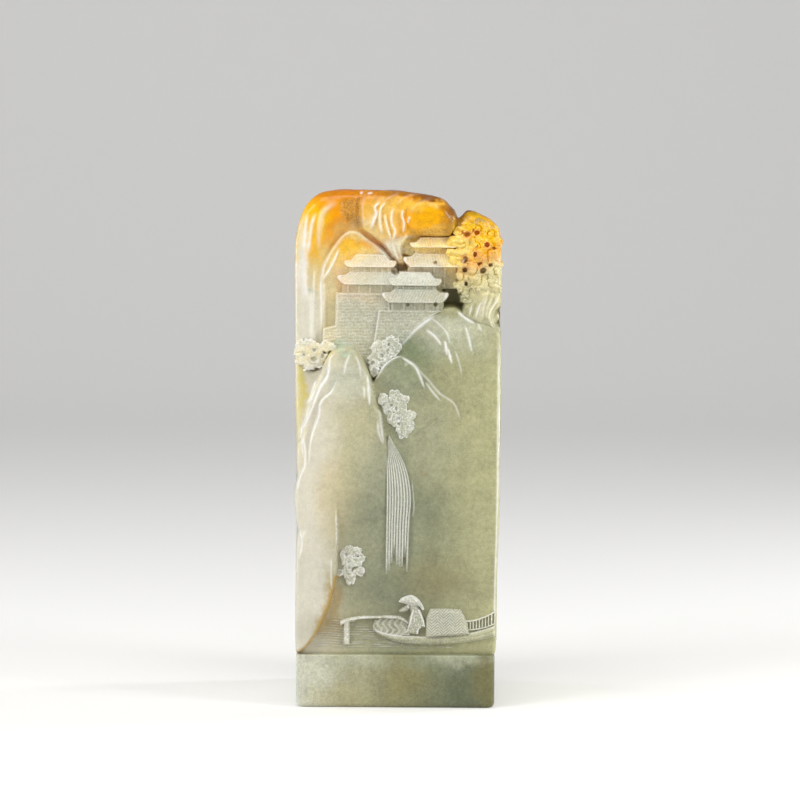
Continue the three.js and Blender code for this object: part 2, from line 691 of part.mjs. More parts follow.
place('left_brick_wall', paleCarving, brickWall(leftWallOutline, [groundOutline, frontWallOutline]));
place('front_brick_wall', paleCarving, brickWall(frontWallOutline, [groundOutline]));
place('left_gate_tower', paleCarving, leftGateTower());
place('front_gate_tower', paleCarving, frontGateTower());
place('rear_gate_tower', paleCarving, rearGateTower());

place('right_pine_trunk', paleCarving, pineTrunk());
place('right_pine_foliage', yellowSkin, foliage(pineFoliage, farY, PINE_RELIEF));
place('left_foliage', yellowSkin, foliage(leftFoliage, groundY, FOLIAGE_RELIEF));
place('wall_foliage', paleCarving, foliage(wallFoliage, groundY, FOLIAGE_RELIEF));
place('cliff_foliage', paleCarving, foliage(cliffFoliage, groundY, FOLIAGE_RELIEF));
place('shore_foliage', paleCarving, foliage(shoreFoliage, groundY, FOLIAGE_RELIEF));

place('boat_hull', paleCarving, boatHull());
place('boat_cabin', paleCarving, boatCabin());
place('boat_bow_beam', paleCarving, bowBeam());
place('boat_stern_rail', paleCarving, sternRail());
place('fisherman', paleCarving, fisherman());

export default seal;
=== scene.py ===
"""The looks of a carved jade seal stamp, laid out as an add-on with one operator for each piece or
group of like pieces. Places on the carved face are given as (across, up): across in hundredths of
the half width from the centre line, up in hundredths of the body's height above the groove."""

import math
import random

import bmesh
import bpy
import numpy as np
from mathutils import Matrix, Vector


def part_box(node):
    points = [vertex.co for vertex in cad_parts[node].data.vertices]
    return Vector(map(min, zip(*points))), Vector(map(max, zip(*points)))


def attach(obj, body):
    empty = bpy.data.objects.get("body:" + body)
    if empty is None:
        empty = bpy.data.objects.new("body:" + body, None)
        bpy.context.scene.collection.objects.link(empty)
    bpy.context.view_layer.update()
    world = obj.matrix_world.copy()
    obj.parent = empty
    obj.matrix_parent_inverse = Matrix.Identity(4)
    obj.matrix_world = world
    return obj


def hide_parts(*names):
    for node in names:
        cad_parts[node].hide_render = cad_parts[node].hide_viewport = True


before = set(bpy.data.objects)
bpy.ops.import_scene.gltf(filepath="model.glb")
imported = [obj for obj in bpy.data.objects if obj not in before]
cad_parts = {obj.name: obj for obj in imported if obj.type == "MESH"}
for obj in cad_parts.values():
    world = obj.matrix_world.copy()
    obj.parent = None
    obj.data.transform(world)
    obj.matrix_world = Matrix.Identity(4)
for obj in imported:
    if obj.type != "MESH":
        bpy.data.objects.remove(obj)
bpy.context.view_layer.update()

bl_info = {
    "name": "Carved jade seal",
    "version": (1, 0, 0),
    "blender": (4, 5, 0),
    "location": "View3D > Sidebar > Seal",
    "description": "Builds the carved stone of a jade seal stamp and the stage it stands on",
    "category": "Add Mesh",
}

MM = 0.001

# Material slots of the part
STONE, CARVED, SKIN = "pale_green_jade", "frosted_carved_jade", "yellow_skin_jade"


def corners(node):
    """The corners of a CAD node in millimetres."""
    low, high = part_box(node)
    return np.array(low) / MM, np.array(high) / MM


# Levels taken from the CAD nodes, in millimetres. Y runs to the back: the cliff's front is lowest.
BASE_LOW, BASE_HIGH = corners("seal_base")
BODY_HIGH = corners("stone_body")[1]
GROUND_LOW, GROUND_HIGH = corners("hill_ground")
HALF_WIDTH = GROUND_HIGH[0]
GROOVE_HALF = 0.4
BASE_TOP = BASE_HIGH[2]
FOOT = BASE_TOP + GROOVE_HALF
BODY_HEIGHT = BODY_HIGH[2] - FOOT
FRONT = corners("left_cliff")[0][1]
GROUND = GROUND_LOW[1]
CROWN = corners("crown_main_rock")[0][1]
FAR = corners("inner_peak")[0][1]
RECESS = GROUND_HIGH[1]
BACK = BODY_HIGH[1]
# How far behind the far level the forms of the crown are bedded
BED = 2
# The carved forms are raised a little, because the front is seen from slightly above: the landscape by one
# step of this many mm, and the gates and the crown, which lie deeper, by two
RISE = 0.14


def lift(up):
    """How far a form at this level is raised, in mm."""
    return RISE + RISE * step(up, 58, 70)


def face(across, up):
    """A place on the carved face, in millimetres."""
    return across / 100 * HALF_WIDTH, FOOT + up / 100 * BODY_HEIGHT + lift(up)


# Outlines of the face
CROWN_LINE = [
    (-102, 85.5), (-100.6, 89.4), (-98.4, 92.4), (-94.4, 95), (-88, 97.4), (-78, 99.2), (-66, 99.9),
    (-50, 100.1), (-30, 100.1), (0, 99.9), (20, 99.4), (34, 98.9), (44, 98), (50, 96.7), (54.5, 95.7),
    (57.5, 94.2), (61, 94.6), (66, 95.7), (73, 95.6), (81, 94.8), (88.6, 93.9), (96, 92.2), (99, 90.2),
    (100.5, 86),
]
LEFT_EDGE = [
    (0, 97.2), (3, 97.8), (12, 98), (22, 97.6), (24.9, 96.4), (26.5, 94.7), (28.7, 97.2), (32, 99.1),
    (35.7, 99.2), (38.2, 96.1), (41.4, 97.5), (47.8, 97.1), (55, 99), (66, 100), (88, 100.6), (89.5, 100),
    (91, 98.9), (100, 98.9),
]
RIGHT_EDGE = [
    (0, 97.8), (3, 99), (14.7, 99.2), (25, 100.2), (37, 101), (69.5, 101.2), (71, 99.4), (74, 99.2),
    (75.5, 100.5), (100, 100.5),
]
SKYLINE = [
    (-100, 62), (-90, 61.5), (-80, 61), (-72, 62.4), (-65, 64.4), (-52, 65.7), (-37, 64), (-29, 60.6),
    (-24.5, 58.8), (-20, 60.2), (-14, 62.4), (-7, 63.9), (-1, 65.4), (4, 67.2), (16, 70.3), (31, 73.1),
    (45, 74.5), (57, 74.4), (68, 72.9), (78, 71.8), (88, 71.2), (95, 70.3), (100, 69.3),
]
CLIFF_TOP = [
    (-104, 44), (-100, 45), (-93, 46.5), (-89.5, 52), (-81, 57), (-72, 62.1), (-64, 65), (-52, 66.1),
    (-40, 65.1), (-30, 61.8), (-23.5, 57.6), (-19, 53.5), (-13, 49), (-9, 43.5), (-8.5, 34), (-9, 16),
]
CLIFF_FOOT = [
    (-57.5, 16), (-58, 15.4), (-60.9, 13), (-64, 10), (-69, 7.5), (-75, 4.4), (-84, 1.4), (-93, -0.4),
    (-104, -1),
]
LEFT_ROCK = [
    (-108, 58), (-108, 108), (-16, 108), (-14, 90), (-11, 86.6), (-40, 86), (-58, 80), (-70, 70), (-70, 58),
]
ROCK_EDGE = [
    (-31.5, 103), (-32.5, 99.5), (-35.9, 97.4), (-36.7, 94.8), (-35.7, 92.2), (-34.2, 90.9), (-27.4, 89.8),
    (-19.6, 88.5), (-11.8, 87), (-7.9, 86), (-4, 84.8), (-0.1, 83.6), (4.8, 83.1), (8.5, 83.8), (7, 85),
    (4.2, 85.8), (3.7, 86.8), (6.5, 88.2), (10.4, 89.5),
]
ROCK_REST = [(22, 89.7), (40, 89.6), (50.8, 89.6), (56.5, 91.2), (57.5, 94.3), (57.5, 108), (-31.5, 108)]
SHELF = [(-6, 91), (34, 91), (34, 84.6), (16, 84.6), (6, 85.6), (-2, 86)]
PEAK_EDGE = [
    (-75, 52), (-75, 62), (-74.6, 67.1), (-74.7, 69.6), (-74.4, 75.6), (-75.8, 79.6), (-74.6, 83),
    (-66.3, 86.6), (-58.3, 89.2), (-51.6, 90.6), (-44.9, 91.1), (-37.1, 90.7), (-29.3, 89.4), (-19.6, 87.9),
    (-9.9, 85.9), (-4, 83.8), (-0.1, 82.6),
]
PEAK_REST = [(4, 80.5), (44, 79), (44, 56)]
BACK_RIDGE = [(50, 108), (50, 93), (59, 89), (58, 83), (70, 74), (72, 66), (108, 66), (108, 108)]
LEFT_WALL = [(-60.4, 77.5), (-7, 77.5), (-7, 73), (-24, 60), (-74, 60), (-73.2, 69.7), (-61.1, 70.4)]
FRONT_WALL = [(-19.2, 73.9), (46, 73.9), (40, 66), (0, 60), (-26, 60), (-25, 65)]
ROUGH_SKIN = [(-55, 97.5), (-36.5, 98), (-36, 91.5), (-44, 92.2), (-52, 93), (-56, 95)]

# Creases of the rock: a line on the face, its height in mm, how far the raised side reaches, and the
# strength of the painted highlight along it. The raised side is left of the line's direction, or right of it
# where the height is negative.
CREASES = [
    ([(-84.9, 53.5), (-80, 54.4), (-74.2, 57.5), (-68.3, 59.5), (-66.4, 61.3), (-65.5, 63.5), (-60.5, 64.6)],
     -0.5, 2.2, 1.0),
    ([(-85.5, 43.4), (-80.8, 48), (-75.5, 51.6), (-75, 53.5), (-71.1, 55.1), (-64.3, 56.4), (-58.4, 58.8)],
     -0.55, 3.0, 0.9),
    ([(-87.9, 53.7), (-84, 55), (-81.1, 57.3), (-79.2, 58.8)], -0.35, 1.4, 1.0),
    ([(-90.5, 41.6), (-92.6, 47.6), (-88.8, 49.8), (-82.9, 52.5), (-76, 56)], -0.4, 1.6, 0.9),
    ([(-52, 59.9), (-49.8, 62.6), (-46, 64.6)], -0.3, 1.6, 0.7),
    ([(-40.8, 64.4), (-36.8, 62.2), (-35.2, 59.5)], -0.25, 1.4, 0.6),
    ([(-29.9, 60.4), (-27.8, 58.2), (-26.6, 53.4)], -0.4, 1.8, 1.0),
    ([(-32.6, 58), (-32, 56.6), (-32, 55)], -0.2, 1.0, 0.6),
    ([(-20.7, 53), (-16.7, 51.7), (-14.7, 48.3), (-12.6, 45)], -0.3, 1.6, 0.7),
    ([(-19, 50.5), (-18, 48), (-13, 45)], -0.2, 1.0, 0.6),
    ([(-96.7, 34.3), (-94.7, 37.4), (-89, 40.4), (-89.2, 44.5), (-92.2, 47.7)], -0.35, 1.6, 0.8),
    ([(-85, 40.6), (-84.4, 43.6), (-82.2, 47.7)], -0.25, 1.6, 0.6),
    ([(-95.6, 19.9), (-93.5, 20.8), (-91.4, 23.8), (-94.3, 26.4)], -0.3, 1.4, 0.7),
    ([(-62.9, 20.7), (-62.8, 15.4), (-61.8, 13.3)], -0.2, 1.0, 0.5),
    ([(-22, 58.4), (-16, 61.2), (-8.5, 63), (-1.4, 63.8), (5, 63.9)], -0.5, 3.0, 0.9),
    ([(3, 63.9), (10.6, 62.9), (17.5, 61.8), (22.5, 59.6), (26.6, 57)], -0.45, 3.0, 0.9),
    ([(12, 63.2), (22.9, 60.6), (29.7, 59.1), (41.4, 56.1), (55, 54), (61.9, 50.2)], -0.55, 5.0, 0.5),
    ([(26.8, 58.7), (35.6, 56.1), (42.4, 54.4)], -0.25, 1.4, 0.6),
    ([(31, 72.3), (40.5, 70.8), (48, 68.8), (50.5, 66.4)], -0.2, 1.8, 0.5),
    ([(27.4, 69.6), (33.3, 68.8), (38.1, 67.7), (43, 66.2)], -0.25, 1.6, 0.8),
    ([(45.5, 67.4), (46.9, 66.2), (47.9, 64.1)], -0.2, 1.2, 0.9),
    ([(48.9, 65.8), (50.8, 64.1), (52.8, 62.4)], -0.2, 1.4, 0.9),
    ([(65.2, 70.6), (69.1, 68), (72.1, 64.8)], -0.3, 2.4, 0.8),
    ([(77.7, 71.2), (79.7, 70.2), (81.6, 69.1)], -0.2, 1.4, 0.6),
    ([(55.7, 65.2), (59.6, 62.8), (62.6, 60)], -0.2, 1.8, 0.4),
    ([(57.3, 73.7), (65.1, 72.4), (74.8, 71)], -0.2, 1.4, 1.0),
]
# Folds of the crown rocks and other rounded lines: a line, its height, its half breadth and the strength of
# the painted highlight along it
FOLDS = [
    ([(-87.9, 94.5), (-89.7, 92), (-90.5, 89.3), (-91.3, 85.9)], 0.3, 0.4, 0.8),
    ([(-79.9, 94.9), (-83.4, 92.5), (-86, 89.3), (-87.7, 85.6)], 0.3, 0.4, 0.8),
    ([(-89.5, 88), (-90, 82), (-90.5, 74.8)], 0.2, 0.7, 0.4),
    ([(-58.6, 96.9), (-65.6, 96.3), (-71.9, 95), (-75.4, 93), (-77.1, 90.6), (-77, 88.2), (-76.6, 86.6)],
     0.35, 0.5, 0.5),
    ([(-72.7, 93.4), (-74.5, 91), (-74.8, 89.1)], 0.2, 0.3, 0.3),
    ([(-17, 97.4), (-22.8, 96.1), (-21.7, 94.6), (-24.6, 92.8), (-27, 91.1)], 0.45, 0.3, 1.0),
    ([(-11.7, 97.4), (-16.9, 95.9), (-18.3, 93.7), (-17.3, 91.6), (-15.8, 90.1)], 0.4, 0.22, 0.9),
    ([(-13.5, 94.6), (-12, 92.9), (-9.5, 90.7), (-6.6, 89)], 0.4, 0.2, 1.0),
    ([(-3.9, 96.1), (-6.7, 94.4), (-6.2, 92.4), (-3.2, 90.9), (-4.6, 89.4), (-6.5, 88.4)], 0.45, 0.22, 1.0),
    ([(4.4, 95.7), (3.4, 94.2), (5.4, 92.5), (4.5, 90.5)], 0.45, 0.24, 1.0),
    ([(10.7, 94.2), (8.8, 92.5)], 0.36, 0.2, 1.0),
    ([(-14.1, 97.4), (-6.4, 98.4), (1.3, 99.1)], 0.25, 0.3, 0.15),
    ([(-2.4, 96.5), (5.2, 98.1), (18.8, 99.1)], 0.3, 0.34, 0.15),
    ([(10.2, 94.4), (15, 96.1), (24.6, 97.5), (34.3, 98.1)], 0.25, 0.4, 0.1),
    ([(-31.6, 99.1), (-34.6, 96.5), (-34.6, 92.6), (-33.2, 91)], 0.15, 0.2, 0.4),
    ([(-11.9, 88.8), (-7.9, 86.6), (-3.1, 84.6)], 0.3, 0.3, 0.55),
    ([(-6.1, 88.4), (-3.1, 86.2), (0.8, 84.3)], 0.3, 0.26, 0.75),
    ([(-1.6, 88.6), (1, 87.1), (4, 84.8)], 0.25, 0.24, 0.5),
    ([(-57.3, 87.4), (-60.2, 85.4), (-64.4, 83.3), (-70.3, 81.2), (-74, 79.6)], 0.2, 0.26, 0.9),
    ([(-66, 86), (-71.3, 83.6), (-74, 81.2), (-75, 78.6), (-74.4, 74.6), (-74.2, 69)], 0.1, 0.28, 0.85),
    # The next two lie almost flat: painted highlights on the top edge of the crown
    ([(-37.5, 99), (-34.6, 99.1)], 0.02, 0.26, 1.0),
    ([(-30.5, 98.9), (-25, 99.1)], 0.02, 0.2, 1.0),
    ([(3, 89.5), (12, 89.8), (20, 89.7)], 0.15, 0.2, 0.5),
    ([(-58.9, 31), (-58, 26.8), (-57.6, 22)], 0.12, 0.16, 0.9),
    ([(14.4, 37.7), (16.8, 31.7), (15.6, 28.9)], 0.12, 0.14, 0.6),
    ([(1.5, 65.6), (4.4, 66.8), (13.6, 69), (23.9, 70.9), (37.3, 73)], 0.16, 0.42, 1.0),
    ([(-19, 59.8), (-13, 62.2), (-9, 62.9)], 0.15, 0.24, 0.7),
]
# Drilled holes: place, half width and half height in mm, depth in mm
HOLES = [
    (-2.7, 82.4, 0.5, 0.5, 0.6), (5, 83.2, 0.9, 0.5, 0.5), (36, 84.1, 0.3, 0.26, 0.3),
    (9.5, 75, 0.26, 0.26, 0.3), (36.6, 75.2, 0.32, 0.34, 0.5), (97.5, 72.4, 0.75, 1.2, 1.0),
]

# Foliage: leaf clumps as (across, up, radius in mm), holes as (across, up, half width, half height in mm)
LEFT_LEAVES = [
    (-92.8, 66.1, 0.75), (-86.8, 66.3, 0.75), (-80.8, 65.9, 0.75), (-94.5, 64.6, 0.82), (-86.7, 64.6, 0.9),
    (-78.1, 64.6, 0.9), (-91.9, 63.2, 0.9), (-83.3, 63, 0.9), (-74.6, 63.6, 0.82), (-69.5, 65.9, 0.82),
    (-63.4, 65.8, 0.53), (-75.4, 62.3, 0.6), (-86.6, 61.9, 0.67),
]
LEFT_HOLES = [
    (-80.7, 65.2, 0.33, 0.3), (-91, 64.2, 0.27, 0.24), (-81, 63.3, 0.49, 0.42), (-72.5, 64, 0.27, 0.45),
]
WALL_LEAVES = [
    (-6.8, 66.3, 1.15), (-18.5, 65.8, 0.95), (-13.3, 64.9, 1.2), (-4.7, 65.3, 0.9), (-21.1, 63.5, 0.9),
    (-15.9, 63.3, 1.05), (-22.8, 62.2, 0.75), (-14, 62.8, 0.85), (-22.5, 61, 0.75), (-0.6, 65.9, 0.6),
    (-11.6, 66.6, 0.7), (-3.4, 67, 0.6),
]
WALL_HOLES = [
    (-8.2, 66.5, 0.24, 0.24), (-9.4, 65, 0.27, 0.45), (-15.2, 64.1, 0.3, 0.33), (-24, 62.5, 0.34, 0.33),
    (-14, 62.1, 0.57, 0.48), (-22.8, 60.1, 0.45, 0.94),
]
CLIFF_LEAVES = [
    (-1.7, 55.3, 0.97), (-12.2, 54.7, 0.82), (6.9, 54.5, 0.67), (-6.9, 53.5, 1.12), (1.7, 53.5, 0.97),
    (3.5, 52, 0.97), (-1.6, 50.6, 0.97), (12.1, 51.1, 0.82), (8.8, 49.7, 1.12), (6.2, 48, 0.97),
    (14.7, 51.5, 0.53), (-5.9, 50.2, 0.45), (-8.8, 52.4, 0.6),
]
CLIFF_HOLES = [
    (-8.6, 51.5, 0.48, 0.63), (-5.6, 53.5, 0.24, 0.24), (-0.8, 52.8, 0.22, 0.38), (0.8, 50.6, 0.34, 0.32),
    (1.7, 49.4, 0.27, 0.27), (-12.9, 53.5, 0.27, 0.27),
]
SHORE_LEAVES = [
    (-45.9, 21.9, 0.82), (-38.8, 21.6, 0.75), (-50.1, 20.9, 0.67), (-33.1, 20.3, 0.53), (-45.8, 19.3, 0.9),
    (-38.7, 19.3, 0.82), (-48.6, 17.4, 0.75), (-35.9, 17.4, 0.67), (-44.3, 15.9, 0.82), (-54.2, 17.1, 0.45),
]
SHORE_HOLES = [
    (-48.7, 20.9, 0.3, 0.3), (-38.8, 20.8, 0.3, 0.3), (-45.8, 19.5, 0.3, 0.3), (-45.5, 18.1, 0.27, 0.27),
    (-40.6, 18, 0.26, 0.26),
]
PINE_LEAVES = [
    (57.9, 90.8, 0.75), (66.7, 91.9, 0.95), (76.4, 92.1, 0.9), (83.5, 91.6, 0.8), (91.6, 90.6, 0.85),
    (95, 88.6, 0.8), (53.2, 88.6, 0.95), (52.1, 86.3, 0.8), (54.9, 84.7, 0.85), (60.4, 88.8, 1.2),
    (69.5, 88.6, 1.2), (79, 89.6, 1.2), (87, 88.9, 1.1), (60, 86.2, 1.0), (70, 85.6, 1.2), (80, 86.1, 1.3),
    (89, 85.6, 1.2), (95.5, 84.1, 0.8), (64, 82.9, 0.9), (73, 82.6, 1.1), (83, 82.4, 1.1), (92, 82.1, 1.1),
    (61.4, 81.3, 0.82), (69, 80.4, 1.1), (78, 80.1, 1.1), (88, 79.6, 1.1), (58.3, 79.5, 0.6),
    (64.5, 78.5, 0.95), (73, 78.1, 0.95), (94, 78.4, 0.8), (67, 76.4, 0.75),
]
PINE_HOLES = [
    (66.5, 90.3, 0.5, 0.42), (76, 90.6, 0.4, 0.36), (86, 88.1, 0.36, 0.4), (74.5, 86, 0.3, 0.4),
    (65.2, 84.9, 0.4, 0.45), (64.5, 82.6, 0.36, 0.36), (82.5, 82.5, 0.5, 0.46), (66, 79.6, 0.27, 0.32),
    (71.1, 77.7, 0.36, 0.6),
]

GUNWALE = [
    (-22.3, 4.7), (-9.2, 3.7), (4.4, 3.3), (18.3, 3.2), (31.9, 3.1), (46.8, 3.2), (64, 3.7), (81.1, 4.5),
    (97, 5.6),
]
KEEL = [
    (97.1, 3.4), (86.8, 2.7), (69.7, 2), (52.6, 1.6), (29.8, 1.4), (13.8, 1.5), (0, 2), (-9.2, 2.8),
    (-18.3, 3.8),
]


# Lines and outlines as arrays of points in millimetres
def spline(points, steps=4):
    """A smooth line through places of the face."""
    p = np.array([face(*place) for place in points], float)
    if len(p) == 2:
        return np.linspace(p[0], p[1], steps + 1)
    ext = np.vstack([2 * p[0] - p[1], p, 2 * p[-1] - p[-2]])
    t = np.linspace(0, 1, steps, endpoint=False)[:, None]
    parts = []
    for a, b, c, d in zip(ext, ext[1:], ext[2:], ext[3:]):
        bend = (2 * a - 5 * b + 4 * c - d) * t**2 + (3 * b - a - 3 * c + d) * t**3
        parts.append(0.5 * (2 * b + (c - a) * t + bend))
    return np.vstack(parts + [p[-1:]])


def polygon(points):
    """An outline with straight sides through places of the face."""
    return np.array([face(*place) for place in points], float)


def to_line(x, z, line, reach):
    """Distance to a line, the share along it and the side (1 to its left), for places within reach."""
    distance = np.full(x.shape, 1e3)
    share = np.zeros(x.shape)
    side = np.ones(x.shape)
    low, high = line.min(axis=0) - reach, line.max(axis=0) + reach
    near = np.nonzero((x > low[0]) & (x < high[0]) & (z > low[1]) & (z < high[1]))[0]
    if not len(near):
        return distance, share, side
    px, pz = x[near], z[near]
    best = np.full(px.shape, 1e9)
    along = np.zeros(px.shape)
    left = np.ones(px.shape)
    steps = np.diff(line, axis=0)
    lengths = np.hypot(steps[:, 0], steps[:, 1])
    travelled = 0.0
    for (ax, az), (dx, dz), length in zip(line, steps, lengths):
        if length == 0:
            continue
        t = np.clip(((px - ax) * dx + (pz - az) * dz) / length**2, 0, 1)
        gap = (px - ax - t * dx) ** 2 + (pz - az - t * dz) ** 2
        closer = gap < best
        best = np.where(closer, gap, best)
        along = np.where(closer, travelled + t * length, along)
        left = np.where(closer, np.where(dx * (pz - az) - dz * (px - ax) > 0, 1.0, -1.0), left)
        travelled += length
    distance[near] = np.sqrt(best)
    share[near] = along / travelled
    side[near] = left
    return distance, share, side


def depth_inside(x, z, outline, reach=3.0):
    """How far inside a closed outline each place lies, negative outside it."""
    closed = np.vstack([outline, outline[:1]])
    distance, _, _ = to_line(x, z, closed, reach)
    inside = np.zeros(x.shape, bool)
    for (ax, az), (bx, bz) in zip(closed, closed[1:]):
        if az == bz:
            continue
        crosses = (az > z) != (bz > z)
        inside ^= crosses & (x < ax + (bx - ax) * (z - az) / (bz - az))
    return np.where(inside, np.minimum(distance, 50), -np.minimum(distance, 50))


def raised(depth, relief, rounding):
    """Height of a form with a rounded edge: relief from rounding inwards, falling away steeply outside."""
    t = np.clip(depth / rounding, 0, 1)
    return np.where(depth >= 0, relief * np.sqrt(1 - (1 - t) ** 2), 5 * depth)


def step(value, start, end):
    """0 up to start, 1 from end, and smooth between them."""
    t = np.clip((value - start) / (end - start), 0, 1)
    return t * t * (3 - 2 * t)


def bell(value, centre, width):
    """1 at the centre and falling off smoothly to both sides."""
    return np.exp(-(((value - centre) / width) ** 2))


def chance_at(column, row, seed):
    """A fixed random value between -1 and 1 for each cell of a lattice."""
    return 2 * (np.sin(column * 127.1 + row * 311.7 + seed * 74.7) * 43758.5453 % 1) - 1


def rough(x, z, size, seed, octaves=1):
    """Smooth noise between about -1 and 1 over the face."""
    total = np.zeros(x.shape)
    for octave in range(octaves):
        gx, gz = x * 2**octave / size, z * 2**octave / size
        column, row = np.floor(gx), np.floor(gz)
        u, v = step(gx - column, 0, 1), step(gz - row, 0, 1)
        low = chance_at(column, row, seed) * (1 - u) + chance_at(column + 1, row, seed) * u
        high = chance_at(column, row + 1, seed) * (1 - u) + chance_at(column + 1, row + 1, seed) * u
        total += (low * (1 - v) + high * v) / 2**octave
    return total


def bumps(x, z, pitch, seed):
    """Bumps spread unevenly over the face: the distance to the nearest one, in pitches."""
    gx, gz = x / pitch, z / pitch
    nearest = np.full(x.shape, 9.0)
    for i in (-1, 0, 1):
        for j in (-1, 0, 1):
            column, row = np.floor(gx) + i, np.floor(gz) + j
            away = np.hypot(gx - column - 0.5 - 0.42 * chance_at(column, row, seed),
                            gz - row - 0.5 - 0.42 * chance_at(column, row, seed + 1))
            nearest = np.minimum(nearest, away)
    return nearest


def at_level(table, level):
    """A width read from a table of (up, value in hundredths)."""
    ups = [FOOT + up / 100 * BODY_HEIGHT for up, _ in table]
    return np.interp(level, ups, [value / 100 * HALF_WIDTH for _, value in table])


def crown_level(x):
    """The crown's level above each place across, in millimetres."""
    line = spline(CROWN_LINE, 6)
    return np.interp(x, line[:, 0], line[:, 1]) - lift(100)


def crease_height(x, z):
    """Height that the creases and folds add, and the painted highlights along their lines."""
    height = np.zeros(x.shape)
    highlight_and_white = np.zeros(x.shape)
    highlight_flicker = 0.88 + 0.12 * rough(x, z, 0.7, 19, 2)
    for points, rise, reach, highlight_strength in CREASES:
        distance, share, side = to_line(x, z, spline(points), 3 * reach)
        ends = np.clip(4 * share, 0, 1) * np.clip(4 * (1 - share), 0, 1)
        on_side = np.where(side * np.sign(rise) > 0, np.exp(-distance / reach), bell(distance, 0, 0.11))
        height += 1.3 * abs(rise) * on_side * ends * (distance < 3 * reach)
        width = 0.08 + 0.15 * highlight_strength * np.sin(math.pi * share)
        highlight_and_white = np.maximum(highlight_and_white, highlight_strength * highlight_flicker * bell(distance, 0, width) * np.minimum(1, 2 * ends))
    for points, rise, breadth, highlight_strength in FOLDS:
        distance, share, _ = to_line(x, z, spline(points), 4 * breadth)
        ends = np.clip(5 * share, 0, 1) * np.clip(5 * (1 - share), 0, 1)
        height += rise * bell(distance, 0, breadth) * ends
        highlight_and_white = np.maximum(highlight_and_white, highlight_strength * highlight_flicker * bell(distance, 0, 0.6 * breadth) * ends)
    return height, highlight_and_white


def on_lines(x, z, reach):
    """Whether each place lies near a crease, a fold or the edge of a form, where the mesh is finer."""
    near = np.zeros(x.shape, bool)
    edges = [PEAK_EDGE, SKYLINE, CLIFF_TOP, CLIFF_FOOT]
    for points in edges + [line for line, *_ in CREASES + FOLDS]:
        near |= to_line(x, z, spline(points), reach)[0] < reach
    return near


def ground_depth(x, z):
    """How far inside the hills' outline each place lies."""
    below = polygon([(110, 60), (110, -4), (-110, -4), (-110, 62)])
    return depth_inside(x, z, np.vstack([spline(SKYLINE, 4), below]))


def from_hole(x, z, across, up, wide, high):
    """Distance from the centre of a drilled hole, 1 at its rim."""
    centre_x, centre_z = face(across, up)
    return np.hypot((x - centre_x) / wide, (z - centre_z) / high)


def recess_depth(x, z, across, up):
    """The floor behind the gates, and the deep hollow beside the front gate."""
    deep = step(1.25 - np.hypot((across - 54.5) / 11, (up - 75.8) / 4), 0, 0.3)
    floor = FAR + 0.7 + 0.12 * rough(x, z, 0.8, 5, 2)
    return floor + (RECESS - floor) * deep


def left_rock_depth(x, z, up, peak, rock, skin):
    """The rock at the upper left, which sinks towards the inner peak and under the main rock."""
    behind_peak = FAR - 0.15 + 0.5 * step(up, 83, 88) - 0.3 * step(up, 83, 74)
    depth = behind_peak - (behind_peak - CROWN) * step(-peak, 0, 2.8) + 0.6 * step(-rock, 1.3, 0)
    depth += 0.35 * skin - 0.12 * skin * rough(x, z, 0.35, 3, 2) + 1.5 * step(peak, 0.15, 0.6)
    return depth + BED - raised(depth_inside(x, z, polygon(LEFT_ROCK)), BED, 0.3)


def main_rock_depth(x, z, across, up, rock, underside):
    """The large rock of the crown: a boulder whose root runs down between the gates."""
    boulder = 0.9 * np.sqrt(np.clip(1 - ((across - 33) / 24.5) ** 2 - ((up - 94.2) / 5.4) ** 2, 0, 1))
    root = step(up, 90.5, 84.5)
    broken = (underside + step(across, 44, 54)) * 0.1 * rough(x, z, 0.35, 8, 2)
    relief = raised(rock, 2.6 + FAR - CROWN - 0.6 - root, 0.55) + (boulder + broken) * (rock > 0)
    return FAR + BED - relief


def cliff_depth(across, up, cliff):
    """The tall cliff on the left, which falls back towards the waterfall and the bank."""
    beside_bank = step(across, -58.2, -56.8) * (1 - step(up, 19, 37))
    toward_fall = step(across, -40, -9) * (1 - step(up, 36, 50))
    factor = (1 - beside_bank) * (1 - 0.8 * toward_fall)
    swell = 0.35 * (((across + 58) / 50) ** 2) * step(up, 10, 40)
    relief = (GROUND - FRONT) * factor - swell * factor
    return GROUND - raised(cliff, np.maximum(relief, 0), 0.7)


